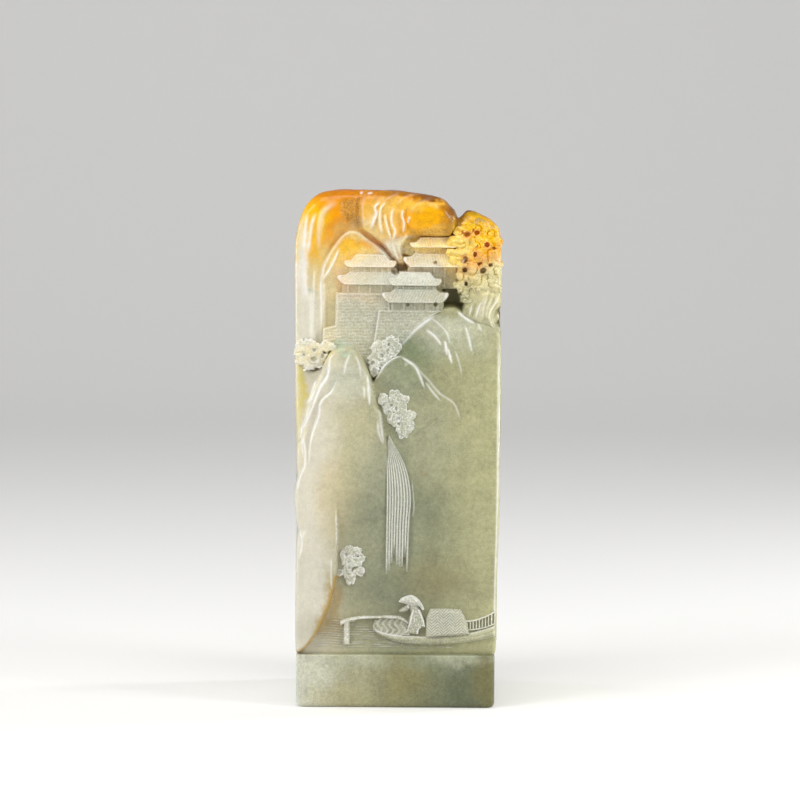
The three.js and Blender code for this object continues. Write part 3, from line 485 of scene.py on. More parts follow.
def stone_front(x, z):
    """The carved front of the stone: its depth, and marks for its surface: painted highlights, hollows with
    painted shade, rough skin and a brown edge.
    """
    up = (z - FOOT) / BODY_HEIGHT * 100
    up = up - lift(up) / BODY_HEIGHT * 100
    across = x / HALF_WIDTH * 100
    peak = depth_inside(x, z, np.vstack([spline(PEAK_EDGE, 3), polygon(PEAK_REST)]), 4)
    rock = depth_inside(x, z, np.vstack([spline(ROCK_EDGE, 3), polygon(ROCK_REST)]), 4)
    cliff = depth_inside(x, z, np.vstack([spline(CLIFF_TOP, 4), spline(CLIFF_FOOT, 3)]))
    skin = step(depth_inside(x, z, polygon(ROUGH_SKIN)), -0.4, 0.6)
    underside = step(up, 92, 90.4) * step(across, 8, 14)
    rim = 0.3 * bell(peak, 0.35, 0.3) * (peak > 0)
    ridge = raised(depth_inside(x, z, spline(BACK_RIDGE, 3)), 2.5, 1.0)
    shelf = raised(depth_inside(x, z, polygon(SHELF)), 1.9, 0.4)
    hills = raised(ground_depth(x, z), FAR - GROUND - 0.5 * step(up, 45, 75), 0.6)
    y = np.minimum.reduce([
        recess_depth(x, z, across, up),
        left_rock_depth(x, z, up, peak, rock, skin),
        FAR + BED - raised(peak, BED, 0.3) - rim,
        FAR + BED - ridge,
        FAR + BED - shelf + 0.12 * rough(x, z, 0.4, 6, 2),
        main_rock_depth(x, z, across, up, rock, underside),
        FAR - hills,
        cliff_depth(across, up, cliff),
    ])

    height, highlight_and_white = crease_height(x, z)
    y = y - height * (y < FAR + 1)
    # Painted highlight along the rim of the inner peak
    peak_rim_highlight = bell(peak, 0.32, 0.3) * (y > FAR - 1) * (across < 0) * (up > 62)
    highlight_and_white = np.maximum(highlight_and_white, 0.4 * peak_rim_highlight)
    # Painted shadow in the wedge under the main rock's lower edge, carried by the hollow mark
    wedge_shadow = (rock < 0) * (peak < 0) * step(rock, -1.2, -0.3) * (across > -36) * (across < 4) * (up > 82)
    wedge_shadow = wedge_shadow * (0.5 + 0.5 * bell(across, -15, 8))
    foot_edge = bell(cliff, 0.22, 0.26) * step(up, 24, 16) * step(-across, 52, 56)

    left_gap = x + at_level(LEFT_EDGE, z)
    right_gap = at_level(RIGHT_EDGE, z) - x
    # Painted highlight: a bright line along the rounded right edge
    right_edge_highlight = bell(right_gap, 0.42, 0.13) * step(up, 5, 9) * (1 - step(up, 62, 68))
    highlight_and_white = np.maximum(highlight_and_white, 0.75 * right_edge_highlight * (0.85 + 0.15 * rough(x, z, 0.9, 23, 2)))
    for gap, radius in ((left_gap, 1.5), (right_gap, 1.2), (crown_level(x) - z, 2.4)):
        t = 1 - np.clip(gap / radius, 0, 1)
        y = y + radius * (1 - np.sqrt(1 - t**2))
    # The drilled holes are deepened and painted darker as shade
    for *place, wide, high, deepness in HOLES:
        distance = from_hole(x, z, *place, wide + 0.08, high + 0.08)
        y = y + deepness * (1 - step(distance, 0.7, 1.15))
        wedge_shadow = np.maximum(wedge_shadow, 0.6 * (1 - step(distance, 0.9, 1.2)))
    # Recesses behind the far level take the hollow colours, and the wedge and the holes are darkened:
    # painted shade
    hollow = np.maximum(0.62 * step(y, FAR + 1.2, RECESS - 0.2), wedge_shadow)
    marks = {"highlight_and_white_line": highlight_and_white, "hollow": hollow, "rough_skin": np.maximum(skin, underside * (rock > 0)),
             "brown_edge": foot_edge}
    return y, marks


# Mesh helpers
def coordinates(bm):
    """The places of a mesh's vertices as an array."""
    return np.array([v.co[:] for v in bm.verts], float)


def put(bm, places):
    """Moves a mesh's vertices to new places."""
    for vert, place in zip(bm.verts, places):
        vert.co = place


def finished(name, bm, material, sharp=None):
    """The mesh as an object at the origin, sized to metres, with its normals pointing out. Edges that turn
    by more than sharp degrees are kept sharp."""
    bmesh.ops.recalc_face_normals(bm, faces=bm.faces)
    bmesh.ops.scale(bm, vec=(MM, MM, MM), verts=bm.verts)
    for f in bm.faces:
        f.smooth = True
    if sharp is not None:
        for e in bm.edges:
            if len(e.link_faces) == 2 and e.calc_face_angle() > math.radians(sharp):
                e.smooth = False
    mesh = bpy.data.meshes.new(name)
    bm.to_mesh(mesh)
    bm.free()
    piece = bpy.data.objects.new(name, mesh)
    bpy.context.scene.collection.objects.link(piece)
    mesh.materials.append(material)
    return piece


def share_values(piece, name, values):
    """A value for each vertex that the material reads where its pattern follows the carving."""
    attribute = piece.data.attributes.new(name, "FLOAT", "POINT")
    attribute.data.foreach_set("value", np.asarray(values, np.float32))


def settle(piece, slot, *nodes):
    """Gives a piece its body and hides the CAD nodes that it replaces. slot is not used."""
    if nodes:
        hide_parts(*nodes)
    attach(piece, "root")


def grid(bm, columns, rows, keep=None):
    """A flat grid from (0, 0) to (1, 1) in x and z, without the cells that aren't kept."""
    bmesh.ops.create_grid(bm, x_segments=columns, y_segments=rows, size=0.5)
    for v in bm.verts:
        v.co = (v.co.x + 0.5, 0, v.co.y + 0.5)
    if keep is None:
        return
    u, v = np.meshgrid((np.arange(columns) + 0.5) / columns, (np.arange(rows) + 0.5) / rows, indexing="ij")
    wanted = keep(u, v)
    while True:
        one = wanted[:-1, :-1] & wanted[1:, 1:] & ~wanted[1:, :-1] & ~wanted[:-1, 1:]
        other = ~wanted[:-1, :-1] & ~wanted[1:, 1:] & wanted[1:, :-1] & wanted[:-1, 1:]
        if not one.any() and not other.any():
            break
        wanted[1:, :-1] |= one
        wanted[:-1, :-1] |= other
    doomed = []
    for f in bm.faces:
        centre = f.calc_center_median()
        if not wanted[min(int(centre.x * columns), columns - 1), min(int(centre.z * rows), rows - 1)]:
            doomed.append(f)
    bmesh.ops.delete(bm, geom=doomed, context="FACES")


def carving(name, nodes, low, high, cell, form, seat, look="half_frosted_jade", sink=0.4, slot=CARVED):
    """A relief over a rectangle of the face. form(x, z) gives its height in mm above seat(x, z), its painted
    highlights and white lines and, where it has recesses, how hollow, which the material shows as painted
    shade. Where it is below the sunk back there is no relief."""
    (x0, z0), (x1, z1) = face(*low), face(*high)
    columns, rows = max(4, round((x1 - x0) / cell)), max(4, round((z1 - z0) / cell))
    bm = bmesh.new()

    def keep(u, v):
        x, z = x0 + (x1 - x0) * u, z0 + (z1 - z0) * v
        return form(x.ravel(), z.ravel())[0].reshape(u.shape) > -sink

    grid(bm, columns, rows, keep)
    front = bmesh.ops.extrude_face_region(bm, geom=bm.faces[:])["geom"]
    front = {e for e in front if isinstance(e, bmesh.types.BMVert)}
    flat = coordinates(bm)
    x, z = x0 + (x1 - x0) * flat[:, 0], z0 + (z1 - z0) * flat[:, 2]
    in_front = np.array([v in front for v in bm.verts])
    back = seat(x, z)
    rise, *marks = form(x, z)
    y = np.where(in_front, back - np.maximum(rise, -0.8 * sink), back + sink)
    put(bm, np.stack([x, y, z], axis=1))
    piece = finished(name, bm, looks()[look], sharp=50)
    for mark, values in zip(("highlight_and_white_line", "hollow"), marks):
        share_values(piece, mark, values * in_front)
    settle(piece, slot, *nodes)


def level_seat(y):
    """A seat at one depth."""
    return lambda x, z: np.full(x.shape, float(y))


def stone_seat(x, z):
    """A seat on the carved stone."""
    return stone_front(x, z)[0]


# Materials
def srgb(red, green, blue):
    """A colour in levels from 0 to 255 as the linear values that Blender takes."""
    channel = [value / 255 for value in (red, green, blue)]
    return tuple(c / 12.92 if c <= 0.04045 else ((c + 0.055) / 1.055) ** 2.4 for c in channel) + (1.0,)


def node(tree, kind, links=(), **settings):
    """A shader node with its settings, and its sockets set to values or linked to other sockets."""
    made = tree.nodes.new(kind)
    for key, value in settings.items():
        setattr(made, key, value)
    for socket, value in dict(links).items():
        target = made.inputs[socket]
        if isinstance(value, bpy.types.NodeSocket):
            tree.links.new(value, target)
        else:
            target.default_value = value
    return made


def maths(tree, operation, a, b=0.0, clamp=False):
    """The result of a sum on two values."""
    return node(tree, "ShaderNodeMath", {0: a, 1: b}, operation=operation, use_clamp=clamp).outputs[0]


def vectors(tree, operation, a, b=(0, 0, 0)):
    """The result of a sum on two vectors."""
    made = node(tree, "ShaderNodeVectorMath", {0: a, 1: b}, operation=operation)
    return made.outputs["Value" if operation == "LENGTH" else 0]


def spread(tree, value, low, high, to_low=0.0, to_high=1.0, smooth=False):
    """A value's range spread over another range."""
    links = {"Value": value, "From Min": low, "From Max": high, "To Min": to_low, "To Max": to_high}
    kind = "SMOOTHSTEP" if smooth else "LINEAR"
    return node(tree, "ShaderNodeMapRange", links, interpolation_type=kind).outputs[0]


def noise(tree, where, scale, detail=3.0, roughness=0.5, output=0):
    """Smooth noise: its value, or its colour for three values at once."""
    links = {"Vector": where, "Scale": scale, "Detail": detail, "Roughness": roughness}
    return node(tree, "ShaderNodeTexNoise", links).outputs[output]


def mixed(tree, share, one, other):
    """A share of the other colour mixed into the one."""
    made = node(tree, "ShaderNodeMix", {"Factor": share}, data_type="RGBA", clamp_factor=True)
    for socket, value in (("A", one), ("B", other)):
        target = [s for s in made.inputs if s.name == socket and s.type == "RGBA"][0]
        if isinstance(value, bpy.types.NodeSocket):
            tree.links.new(value, target)
        else:
            target.default_value = value
    return [s for s in made.outputs if s.type == "RGBA"][0]


def ramp(tree, value, stops):
    """Colours read from a value by stops of (position, colour)."""
    made = node(tree, "ShaderNodeValToRGB", {0: value})
    made.color_ramp.interpolation = "EASE"
    elements = made.color_ramp.elements
    while len(elements) < len(stops):
        elements.new(0.5)
    for element, (position, colour) in zip(elements, stops):
        element.position = position
        element.color = srgb(*colour)
    return made.outputs[0]


# Colour patches of the stone: place, half width and half height in mm, softness, colour and strength
PATCHES = [
    (-50, 50, 4.5, 12, 0.8, (206, 199, 160), 0.5),
    (-52, 59, 3.0, 3.5, 0.7, (208, 208, 188), 0.8),
    (-82, 40, 3.2, 16, 0.7, (229, 223, 204), 0.9),
    (-84, 14, 3.0, 9, 0.6, (222, 217, 199), 1.0),
    (-96, 58, 1.0, 9, 0.8, (226, 212, 150), 0.7),
    (-60, 33, 2.6, 5.5, 0.8, (214, 198, 152), 0.6),
    (-61, 10, 1.2, 4.5, 0.5, (190, 155, 70), 0.5),
    (-72, 5.5, 1.2, 1.8, 0.5, (196, 164, 84), 0.5),
    (20, 66, 3.2, 2.8, 0.8, (112, 128, 92), 0.75),
    (8, 60, 3.6, 3.2, 0.9, (150, 158, 130), 0.4),
    (-14, 38, 2.4, 5, 0.9, (186, 186, 158), 0.6),
    (58, 68, 4.4, 2.8, 0.8, (198, 200, 176), 0.75),
    (50, 71, 6.0, 1.5, 0.7, (208, 208, 186), 0.8),
    (-26, 73, 3.4, 2.2, 0.8, (166, 161, 132), 0.8),
    (36, 45, 3.6, 5.5, 0.9, (180, 180, 152), 0.5),
    (12, 31, 7.5, 2.8, 0.9, (132, 136, 108), 0.6),
    (55, 14.5, 5.0, 2.2, 0.9, (138, 136, 104), 0.55),
    (6, 24, 8, 9, 0.9, (136, 141, 116), 0.55),
    (-25, 30, 4, 7, 0.9, (150, 152, 124), 0.4),
    (0, 10, 6, 4, 0.8, (122, 126, 100), 0.5),
    (-25, 15, 5, 3, 0.8, (130, 134, 108), 0.5),
    (38, 16, 5, 3, 0.8, (146, 138, 96), 0.5),
    (75, 45, 4, 20, 0.8, (186, 184, 140), 0.4),
    (-20, 5, 10, 2.6, 0.8, (142, 138, 108), 0.5),
    (-66, 65.8, 1.5, 0.7, 0.5, (112, 140, 92), 0.9),
    (-54, 65.4, 1.6, 0.5, 0.6, (196, 212, 184), 0.8),
    (13, 66.2, 0.6, 0.3, 0.6, (92, 118, 84), 0.6),
    (24.5, 38.8, 0.25, 0.2, 0.6, (176, 140, 90), 0.6),
    (-84, 70, 2.4, 6.0, 0.6, (226, 222, 204), 0.9),
    (-66, 72, 1.4, 5.0, 0.7, (238, 220, 168), 0.9),
    (-38, 72, 4.5, 4.0, 0.7, (188, 183, 152), 0.7),
    (-86, 64.6, 3.0, 1.8, 0.5, (242, 228, 180), 0.95),
    (-94, 57, 0.6, 3.4, 0.6, (222, 208, 120), 0.7),
    (10, 71, 5.0, 3.0, 0.7, (176, 175, 148), 0.7),
    (88, 76, 2.4, 3.0, 0.7, (222, 214, 170), 0.8),
]
SKIN_PATCHES = [
    (-45, 99.4, 5.5, 1.4, 0.7, (212, 128, 6), 0.9),
    (-45, 95.4, 2.0, 1.9, 0.5, (222, 162, 62), 0.9),
    (-52, 91, 3.2, 1.3, 0.6, (236, 188, 100), 0.95),
    (-71, 92.5, 1.4, 2.6, 0.5, (252, 170, 0), 0.9),
    (-84, 92.5, 1.8, 3.6, 0.6, (250, 196, 20), 0.9),
    (-95, 92, 1.2, 4, 0.6, (244, 196, 76), 0.9),
    (-94, 86, 1.5, 4, 0.6, (240, 226, 184), 0.95),
    # Painted highlight: a glossy white streak down the left column
    (-91, 79, 1.2, 6.2, 0.5, (238, 234, 222), 0.95),
    (-80, 86, 1.3, 3.4, 0.6, (250, 196, 52), 0.9),
    (-80, 81, 1.0, 2.0, 0.6, (232, 206, 124), 0.85),
    (-81, 76.5, 0.8, 4.4, 0.6, (212, 203, 162), 0.8),
    (-48, 86.4, 2.4, 2.4, 0.6, (252, 200, 66), 1.0),
    (-64, 85.6, 1.5, 2.4, 0.6, (244, 210, 124), 0.9),
    (-70, 80, 1.5, 5.0, 0.6, (240, 212, 140), 0.95),
    (-28, 82, 5.0, 2.6, 0.6, (234, 222, 184), 0.9),
    (-24, 94.4, 2.2, 2.4, 0.7, (246, 200, 96), 0.95),
    (-28, 91.9, 1.7, 1.4, 0.7, (242, 216, 162), 0.9),
    (-30, 86.6, 2.0, 1.2, 0.7, (240, 214, 140), 0.95),
    (-18, 91, 3.0, 1.5, 0.6, (236, 208, 148), 0.9),
    (-8, 93.5, 2.0, 3.4, 0.6, (244, 204, 112), 0.8),
    (-4, 87, 2.2, 1.8, 0.7, (232, 222, 200), 0.95),
    (12, 87.2, 3.2, 1.6, 0.5, (232, 220, 180), 1.0),
    (26, 93.4, 3.6, 2.2, 0.6, (252, 182, 8), 1.0),
    (20, 96.8, 5.0, 0.8, 0.6, (250, 196, 70), 0.9),
    (20, 99.6, 6.0, 0.7, 0.6, (170, 108, 4), 0.95),
    (38, 98.8, 3.2, 0.8, 0.6, (140, 82, 0), 1.0),
    (34, 90.6, 4.2, 0.8, 0.5, (230, 180, 74), 1.0),
    (47, 96.5, 1.2, 1.7, 0.6, (188, 122, 16), 0.9),
    (53, 93, 1.4, 2.6, 0.5, (160, 112, 48), 0.9),
    # Lightened against the shadow under the boulder: painted light on the rear tower's roof
    (36, 88, 4.0, 1.3, 0.5, (255, 220, 116), 1.0),
    (34, 84.2, 4.6, 1.4, 0.6, (204, 184, 124), 1.0),
    (-22, 84.6, 2.6, 1.2, 0.7, (218, 204, 164), 0.8),
    (-20, 80, 2.8, 1.5, 0.8, (192, 182, 140), 0.8),
    # Painted shade on the rear tower's lower wall, beside the deep hollow
    (46, 80.4, 2.0, 1.7, 0.6, (116, 102, 58), 0.95),
    # Lightened against the shading of the valley: painted light
    (-36, 90.8, 1.8, 0.8, 0.6, (250, 214, 128), 0.9),
    (16, 79.5, 5.0, 2.6, 0.5, (224, 223, 204), 1.0),
    (78, 95.8, 5.0, 1.9, 0.4, (104, 54, 0), 1.0),
    (97, 92, 1.6, 2.4, 0.5, (186, 98, 4), 0.9),
    (78, 89.6, 4.0, 3.0, 0.5, (255, 204, 18), 1.0),
    (80, 86, 3.2, 1.1, 0.7, (240, 166, 24), 0.9),
    (60, 85.5, 2.2, 3.4, 0.6, (255, 222, 116), 0.95),
    (74, 83, 2.0, 1.8, 0.7, (236, 170, 60), 0.85),
    (93, 80.5, 2.6, 3.0, 0.6, (240, 230, 170), 0.95),
    (74, 78.5, 4.4, 2.6, 0.7, (244, 228, 160), 0.95),
    (-84, 78.3, 0.8, 0.3, 0.6, (110, 146, 116), 0.75),
    (-69.6, 77.9, 0.7, 0.14, 0.6, (140, 160, 90), 0.5),
]
BASE_PATCHES = [
    (-78, -6, 2.5, 3.6, 0.8, (210, 210, 188), 0.7),
    (-40, -2, 5.0, 1.2, 0.8, (192, 195, 172), 0.6),
    (-55, -10, 4.0, 1.6, 0.8, (186, 180, 138), 0.6),
    (12, -6, 2.6, 3.0, 0.8, (150, 142, 92), 0.6),
    (40, -2, 4.0, 1.4, 0.8, (150, 156, 130), 0.5),
    (62, -8.5, 2.0, 2.4, 0.7, (96, 106, 76), 0.6),
    (62, -1.4, 5.2, 1.0, 0.7, (170, 172, 146), 0.95),
    (88, -5, 1.4, 4.0, 0.8, (128, 122, 78), 0.6),
]


def patched(tree, places, base, patches):
    """Soft patches of colour over a base, each an ellipse on the face that runs through the stone."""
    colour = base
    for across, up, wide, high, softness, tint, strength in patches:
        x, z = face(across, up)
        centred = vectors(tree, "SUBTRACT", places, (x, 0, z))
        scaled = vectors(tree, "MULTIPLY", centred, (1 / wide, 0, 1 / high))
        reach = vectors(tree, "LENGTH", scaled)
        share = spread(tree, reach, 1 + softness, 1 - softness, 0.0, strength, smooth=True)
        colour = mixed(tree, share, colour, srgb(*tint))
    return colour


def wandering(tree, where, scale, reach):
    """A noisy shift of places, so that patches get ragged outlines."""
    shift = vectors(tree, "SUBTRACT", noise(tree, where, scale, output="Color"), (0.5, 0.5, 0.5))
    return vectors(tree, "MULTIPLY", shift, (reach, reach, reach))


# Colours of the body and of the base from left to right, and those mixed into hollows from below to the top:
# olive up to the skin's orange-brown, darker than the surface around them as painted shade
BODY_TONES = [(0.0, (224, 219, 200)), (0.16, (212, 205, 178)), (0.3, (186, 183, 150)),
              (0.48, (158, 160, 130)), (0.68, (164, 163, 126)), (1.0, (182, 180, 138))]
BASE_TONES = [(0.0, (216, 217, 203)), (0.12, (206, 205, 184)), (0.27, (172, 169, 136)),
              (0.5, (147, 145, 108)), (0.68, (126, 129, 98)), (0.8, (118, 122, 96)), (1.0, (112, 112, 76))]
HOLLOW_TONES = [(0.0, (136, 136, 106)), (0.55, (140, 136, 90)), (0.75, (150, 126, 68)),
                (1.0, (230, 136, 12))]
# The last colour is the near-white of painted highlights and of white carved lines
SPECK_BROWN, EDGE_BROWN, HIGHLIGHT_AND_LINE_WHITE = srgb(150, 98, 36), srgb(192, 156, 78), srgb(250, 249, 244)
# Levels in mm between which the green stone turns into the yellow skin
SKIN_FROM, SKIN_FULL = 60.5, 67.5


def jade(name, frosting=0.0, base_zone=False):
    """Jade with zones of colour, clouds and grain. frosting is 0 where polished, 1 where tool-frosted."""
    settings = bpy.context.scene.seal_colours
    material = bpy.data.materials.new(name)
    material.use_nodes = True
    tree = material.node_tree
    shader = tree.nodes["Principled BSDF"]
    where = node(tree, "ShaderNodeTexCoord").outputs["Object"]
    in_mm = vectors(tree, "MULTIPLY", where, (1 / MM, 1 / MM, 1 / MM))
    moved = vectors(tree, "ADD", in_mm, wandering(tree, in_mm, 0.22, 4.0))
    moved = vectors(tree, "ADD", moved, wandering(tree, in_mm, 1.1, 1.4))
    parts = node(tree, "ShaderNodeSeparateXYZ", {0: moved})
    across, level = spread(tree, parts.outputs[0], -HALF_WIDTH, HALF_WIDTH), parts.outputs[2]
    colour = ramp(tree, across, BASE_TONES if base_zone else BODY_TONES)
    colour = patched(tree, moved, colour, BASE_PATCHES if base_zone else PATCHES)
    if not base_zone:
        skin = patched(tree, moved, settings.skin_colour[:] + (1.0,), SKIN_PATCHES)
        colour = mixed(tree, spread(tree, level, SKIN_FROM, SKIN_FULL, smooth=True), colour, skin)

    clouds = noise(tree, in_mm, 0.45, 5.0, 0.6)
    mottle = noise(tree, in_mm, 1.6, 4.0, 0.65)
    grain = noise(tree, in_mm, 6.5, 3.0, 0.7)
    shade = 0.0
    for layer, strength in ((clouds, 0.55), (mottle, 0.65), (grain, 0.9)):
        centred = maths(tree, "SUBTRACT", layer, 0.5)
        shade = maths(tree, "ADD", shade, maths(tree, "MULTIPLY", centred, strength))
    shade = maths(tree, "MULTIPLY", shade, spread(tree, across, 0.08, 0.4, 1.0 if base_zone else 0.35, 1.0))
    colour = vectors(tree, "MULTIPLY", colour, maths(tree, "ADD", shade, 0.97))

    rough_skin, highlight_and_white, hollow, brown_edge = (
        node(tree, "ShaderNodeAttribute", attribute_name=mark).outputs["Fac"]
        for mark in ("rough_skin", "highlight_and_white_line", "hollow", "brown_edge"))
    specks = spread(tree, noise(tree, in_mm, 5.0, 3.0, 0.7), 0.42, 0.6)
    specks = maths(tree, "MULTIPLY", maths(tree, "MULTIPLY", rough_skin, specks), 0.7)
    colour = mixed(tree, specks, colour, SPECK_BROWN)
    colour = mixed(tree, maths(tree, "MULTIPLY", brown_edge, 0.9), colour, EDGE_BROWN)
    # Hollows take darker colours by level, and the deepest are darkened further: painted shade
    inner = ramp(tree, spread(tree, level, 50.0, 70.0), HOLLOW_TONES)
    colour = mixed(tree, maths(tree, "MULTIPLY", hollow, 0.75), colour, inner)
    colour = vectors(tree, "MULTIPLY", colour, spread(tree, hollow, 0.86, 1.0, 1.0, 0.45))
    if frosting:
        pale = settings.frosted_colour[:] + (1.0,)
        colour = mixed(tree, 0.16 * frosting, colour, pale)
        stipple = spread(tree, noise(tree, in_mm, 3.4, 3.0, 0.75), 0.48, 0.66, 0.0, 0.85 * frosting)
        colour = mixed(tree, stipple, colour, pale)
    # Painted highlights along ridges, rims and edges, and white carved lines
    colour = mixed(tree, highlight_and_white, colour, HIGHLIGHT_AND_LINE_WHITE)
    tree.links.new(colour, shader.inputs["Base Color"])
    polish = spread(tree, grain, 0.3, 0.7, 0.08, 0.2)
    matte = maths(tree, "ADD", maths(tree, "MULTIPLY", rough_skin, 0.3), 0.4 * frosting, clamp=True)
    tree.links.new(maths(tree, "ADD", polish, matte, clamp=True), shader.inputs["Roughness"])
    shader.inputs["Subsurface Weight"].default_value = 0.2 if frosting else 0.35
    shader.inputs["Subsurface Radius"].default_value = (1.0, 0.85, 0.55)
    shader.inputs["Subsurface Scale"].default_value = 0.8 * MM
    shader.inputs["IOR"].default_value = 1.6
    shader.inputs["Specular IOR Level"].default_value = 0.28
    dents = {"Height": noise(tree, in_mm, 6.0 if frosting else 2.2), "Distance": 0.1 * MM,
             "Strength": 0.25 if frosting else 0.08}
    tree.links.new(node(tree, "ShaderNodeBump", dents).outputs[0], shader.inputs["Normal"])
    return material


def looks():
    """The seal's materials, made once."""
    store = bpy.data.materials
    if "polished_jade" not in store:
        jade("polished_jade")
        jade("polished_base_jade", base_zone=True)
        jade("frosted_jade", frosting=1.0)
        jade("half_frosted_jade", frosting=0.4)
    return store


def colour_setting(name, description, default):
    """A colour that a user may change."""
    return bpy.props.FloatVectorProperty(name=name, description=description, subtype="COLOR", size=3, min=0,
                                         max=1, default=default)


def size_setting(name, description, default):
    """A length that a user may change, in metres."""
    return bpy.props.FloatProperty(name=name, description=description, unit="LENGTH", default=default)


class SealColours(bpy.types.PropertyGroup):
    """Colours of the stone that a user may change"""

    skin_colour: colour_setting("Skin", "Yellow skin left on the crown of the stone", srgb(244, 160, 6)[:3])
    frosted_colour: colour_setting(
        "Frosted carving", "Pale surface that the tool leaves on fine carving", srgb(246, 246, 238)[:3])
    floor_colour: colour_setting("Floor", "Plain floor and backdrop of the stage", (0.8, 0.79, 0.77))


class SealSizes(bpy.types.PropertyGroup):
    """Sizes of the carving that a user may change"""

    tile_pitch: size_setting("Tile pitch", "Distance between two rows of roof tiles", 0.00042)
    course_height: size_setting("Brick course", "Height of one course of bricks in the walls", 0.00048)
    brick_length: size_setting("Brick length", "Length of one brick in the walls", 0.00096)
    joint_depth: size_setting("Joint depth", "Depth of the joints between bricks", 0.00008)
    groove_depth: size_setting("Groove depth", "Depth of the groove between base and body", 0.00012)
    base_edge: size_setting("Base edge", "Rounding of the upright edges of the base", 0.0012)


# The level above which the crown's mesh is finer throughout
CROWN_FOOT = 83.5


def block_places(places):
    """Where a grid's places lie on the block: the share to the side, the crown's level there, z and x."""
    sweep = 2 * places[:, 0] - 1
    sweep = 0.55 * sweep + 0.45 * np.sin(sweep * math.pi / 2)
    top = crown_level(sweep * HALF_WIDTH)
    z = BASE_TOP + places[:, 2] * (top - BASE_TOP)
    return sweep, top, z, sweep * np.where(sweep < 0, at_level(LEFT_EDGE, z), at_level(RIGHT_EDGE, z))


def block_mesh(columns, rows, rings):
    """A grid for the carved front, finer near its lines and at its top, with rings of faces behind it at
    y = 1, 2 and so on, closed at the back."""
    bm = bmesh.new()
    grid(bm, columns, rows)
    _, _, z, x = block_places(coordinates(bm))
    fine = on_lines(x, z, 0.4) | (z > face(0, CROWN_FOOT)[1])
    bm.verts.index_update()
    edges = [e for e in bm.edges if fine[e.verts[0].index] and fine[e.verts[1].index]]
    bmesh.ops.subdivide_edges(bm, edges=edges, cuts=1, use_grid_fill=True)
    edges = [e for e in bm.edges if e.is_boundary]
    for _ in range(rings):
        made = bmesh.ops.extrude_edge_only(bm, edges=edges)["geom"]
        edges = [e for e in made if isinstance(e, bmesh.types.BMEdge) and e.is_boundary]
        moved = [e for e in made if isinstance(e, bmesh.types.BMVert)]
        bmesh.ops.translate(bm, vec=(0, 1, 0), verts=moved)
    bmesh.ops.edgeloop_fill(bm, edges=edges)
    return bm


class SEAL_OT_stone(bpy.types.Operator):
    """Carve the stone: the block with its cliffs, hills, crown rocks and the recess behind the gates"""

    bl_idname = "seal.stone"
    bl_label = "Carved stone"

    def execute(self, context):
        straight_rings, arc_rings = 7, 5
        bm = block_mesh(columns=140, rows=310, rings=straight_rings + arc_rings)
        flat = coordinates(bm)
        ring = flat[:, 1]
        sweep, top, z, x = block_places(flat)
        front, marks = stone_front(x, z)
        front = np.minimum(front, RECESS)

        # The sides run back from the front and turn into the back with a rounded edge
        edge_rounding = 1.6
        along = np.clip(ring / straight_rings, 0, 1)
        turn = np.clip((ring - straight_rings) / arc_rings, 0, 1) * math.pi / 2
        inset = edge_rounding * (1 - np.cos(turn))
        y = front + (BACK - edge_rounding - front) * along**1.3 + edge_rounding * np.sin(turn)
        depth = np.clip((y - FRONT) / (BACK - FRONT), 0, 1)

        # The top falls away to the back in soft waves
        fall = 7 * (0.25 * depth**2 + 0.75 * depth**6) * (ring > 0)
        waves = 0.18 * np.sin(0.8 * x + 2) * np.sin(math.pi * depth) * (ring > 0)
        share = np.clip((z - BASE_TOP) / (top - BASE_TOP), 0, 1)
        z = z - (fall - waves + inset) * share

        # Behind the carved outline the sides return to the plain block, gently uneven
        nominal = HALF_WIDTH - 0.5 * (1 - np.clip((z - FOOT) / (0.5 * BODY_HEIGHT), 0, 1))
        at_side = np.abs(sweep) > 0.999
        behind = step(depth, 0.0, 0.25) * at_side
        x = x + behind * (np.sign(x) * nominal - x) * 0.8
        soft = 0.12 * np.sin(0.35 * z + 1) * np.sin(math.pi * depth) * at_side
        x = (x - np.sign(x) * soft) * (1 - inset / HALF_WIDTH)

        # The upper half of the groove
        groove = context.scene.seal_sizes.groove_depth / MM
        pinch = groove * np.clip(1 - (z - BASE_TOP) / GROOVE_HALF, 0, 1)
        x = x * (1 - pinch / HALF_WIDTH)
        y = np.where(y < 0, y + pinch, y - pinch)
        put(bm, np.stack([x, y, z], axis=1))
        piece = finished("carved_stone", bm, looks()["polished_jade"], sharp=60)
        for mark, values in marks.items():
            share_values(piece, mark, values * (ring == 0))
        settle(piece, STONE, "stone_body", "hill_ground", "lake_water", "left_cliff", "middle_hill",
               "crown_left_peak", "crown_main_rock", "crown_back_ridge", "inner_peak")
        return {"FINISHED"}


class SEAL_OT_base(bpy.types.Operator):
    """Make the square base with the sealing face and the lower half of the groove"""

    bl_idname = "seal.base"
    bl_label = "Seal base"

    def execute(self, context):
        bm = bmesh.new()
        bmesh.ops.create_cube(bm, size=1)
        bmesh.ops.scale(bm, vec=tuple(BASE_HIGH - BASE_LOW), verts=bm.verts)
        bmesh.ops.translate(bm, vec=tuple((BASE_HIGH + BASE_LOW) / 2), verts=bm.verts)
        shared = {"profile": 0.5, "affect": "EDGES", "material": -1}
        upright = [e for e in bm.edges if abs(e.verts[0].co.z - e.verts[1].co.z) > 1]
        rounding = context.scene.seal_sizes.base_edge / MM
        bmesh.ops.bevel(bm, geom=upright, offset=rounding, segments=6, **shared)
        top_rim, foot_rim = 0.22, 0.8
        for direction, offset in ((1, top_rim), (-1, foot_rim)):
            rim = [e for f in bm.faces if f.normal.z * direction > 0.9 for e in f.edges]
            bmesh.ops.bevel(bm, geom=rim, offset=offset, segments=4, **shared)
        settle(finished("seal_block", bm, looks()["polished_base_jade"], sharp=35), STONE, "seal_base")
        return {"FINISHED"}


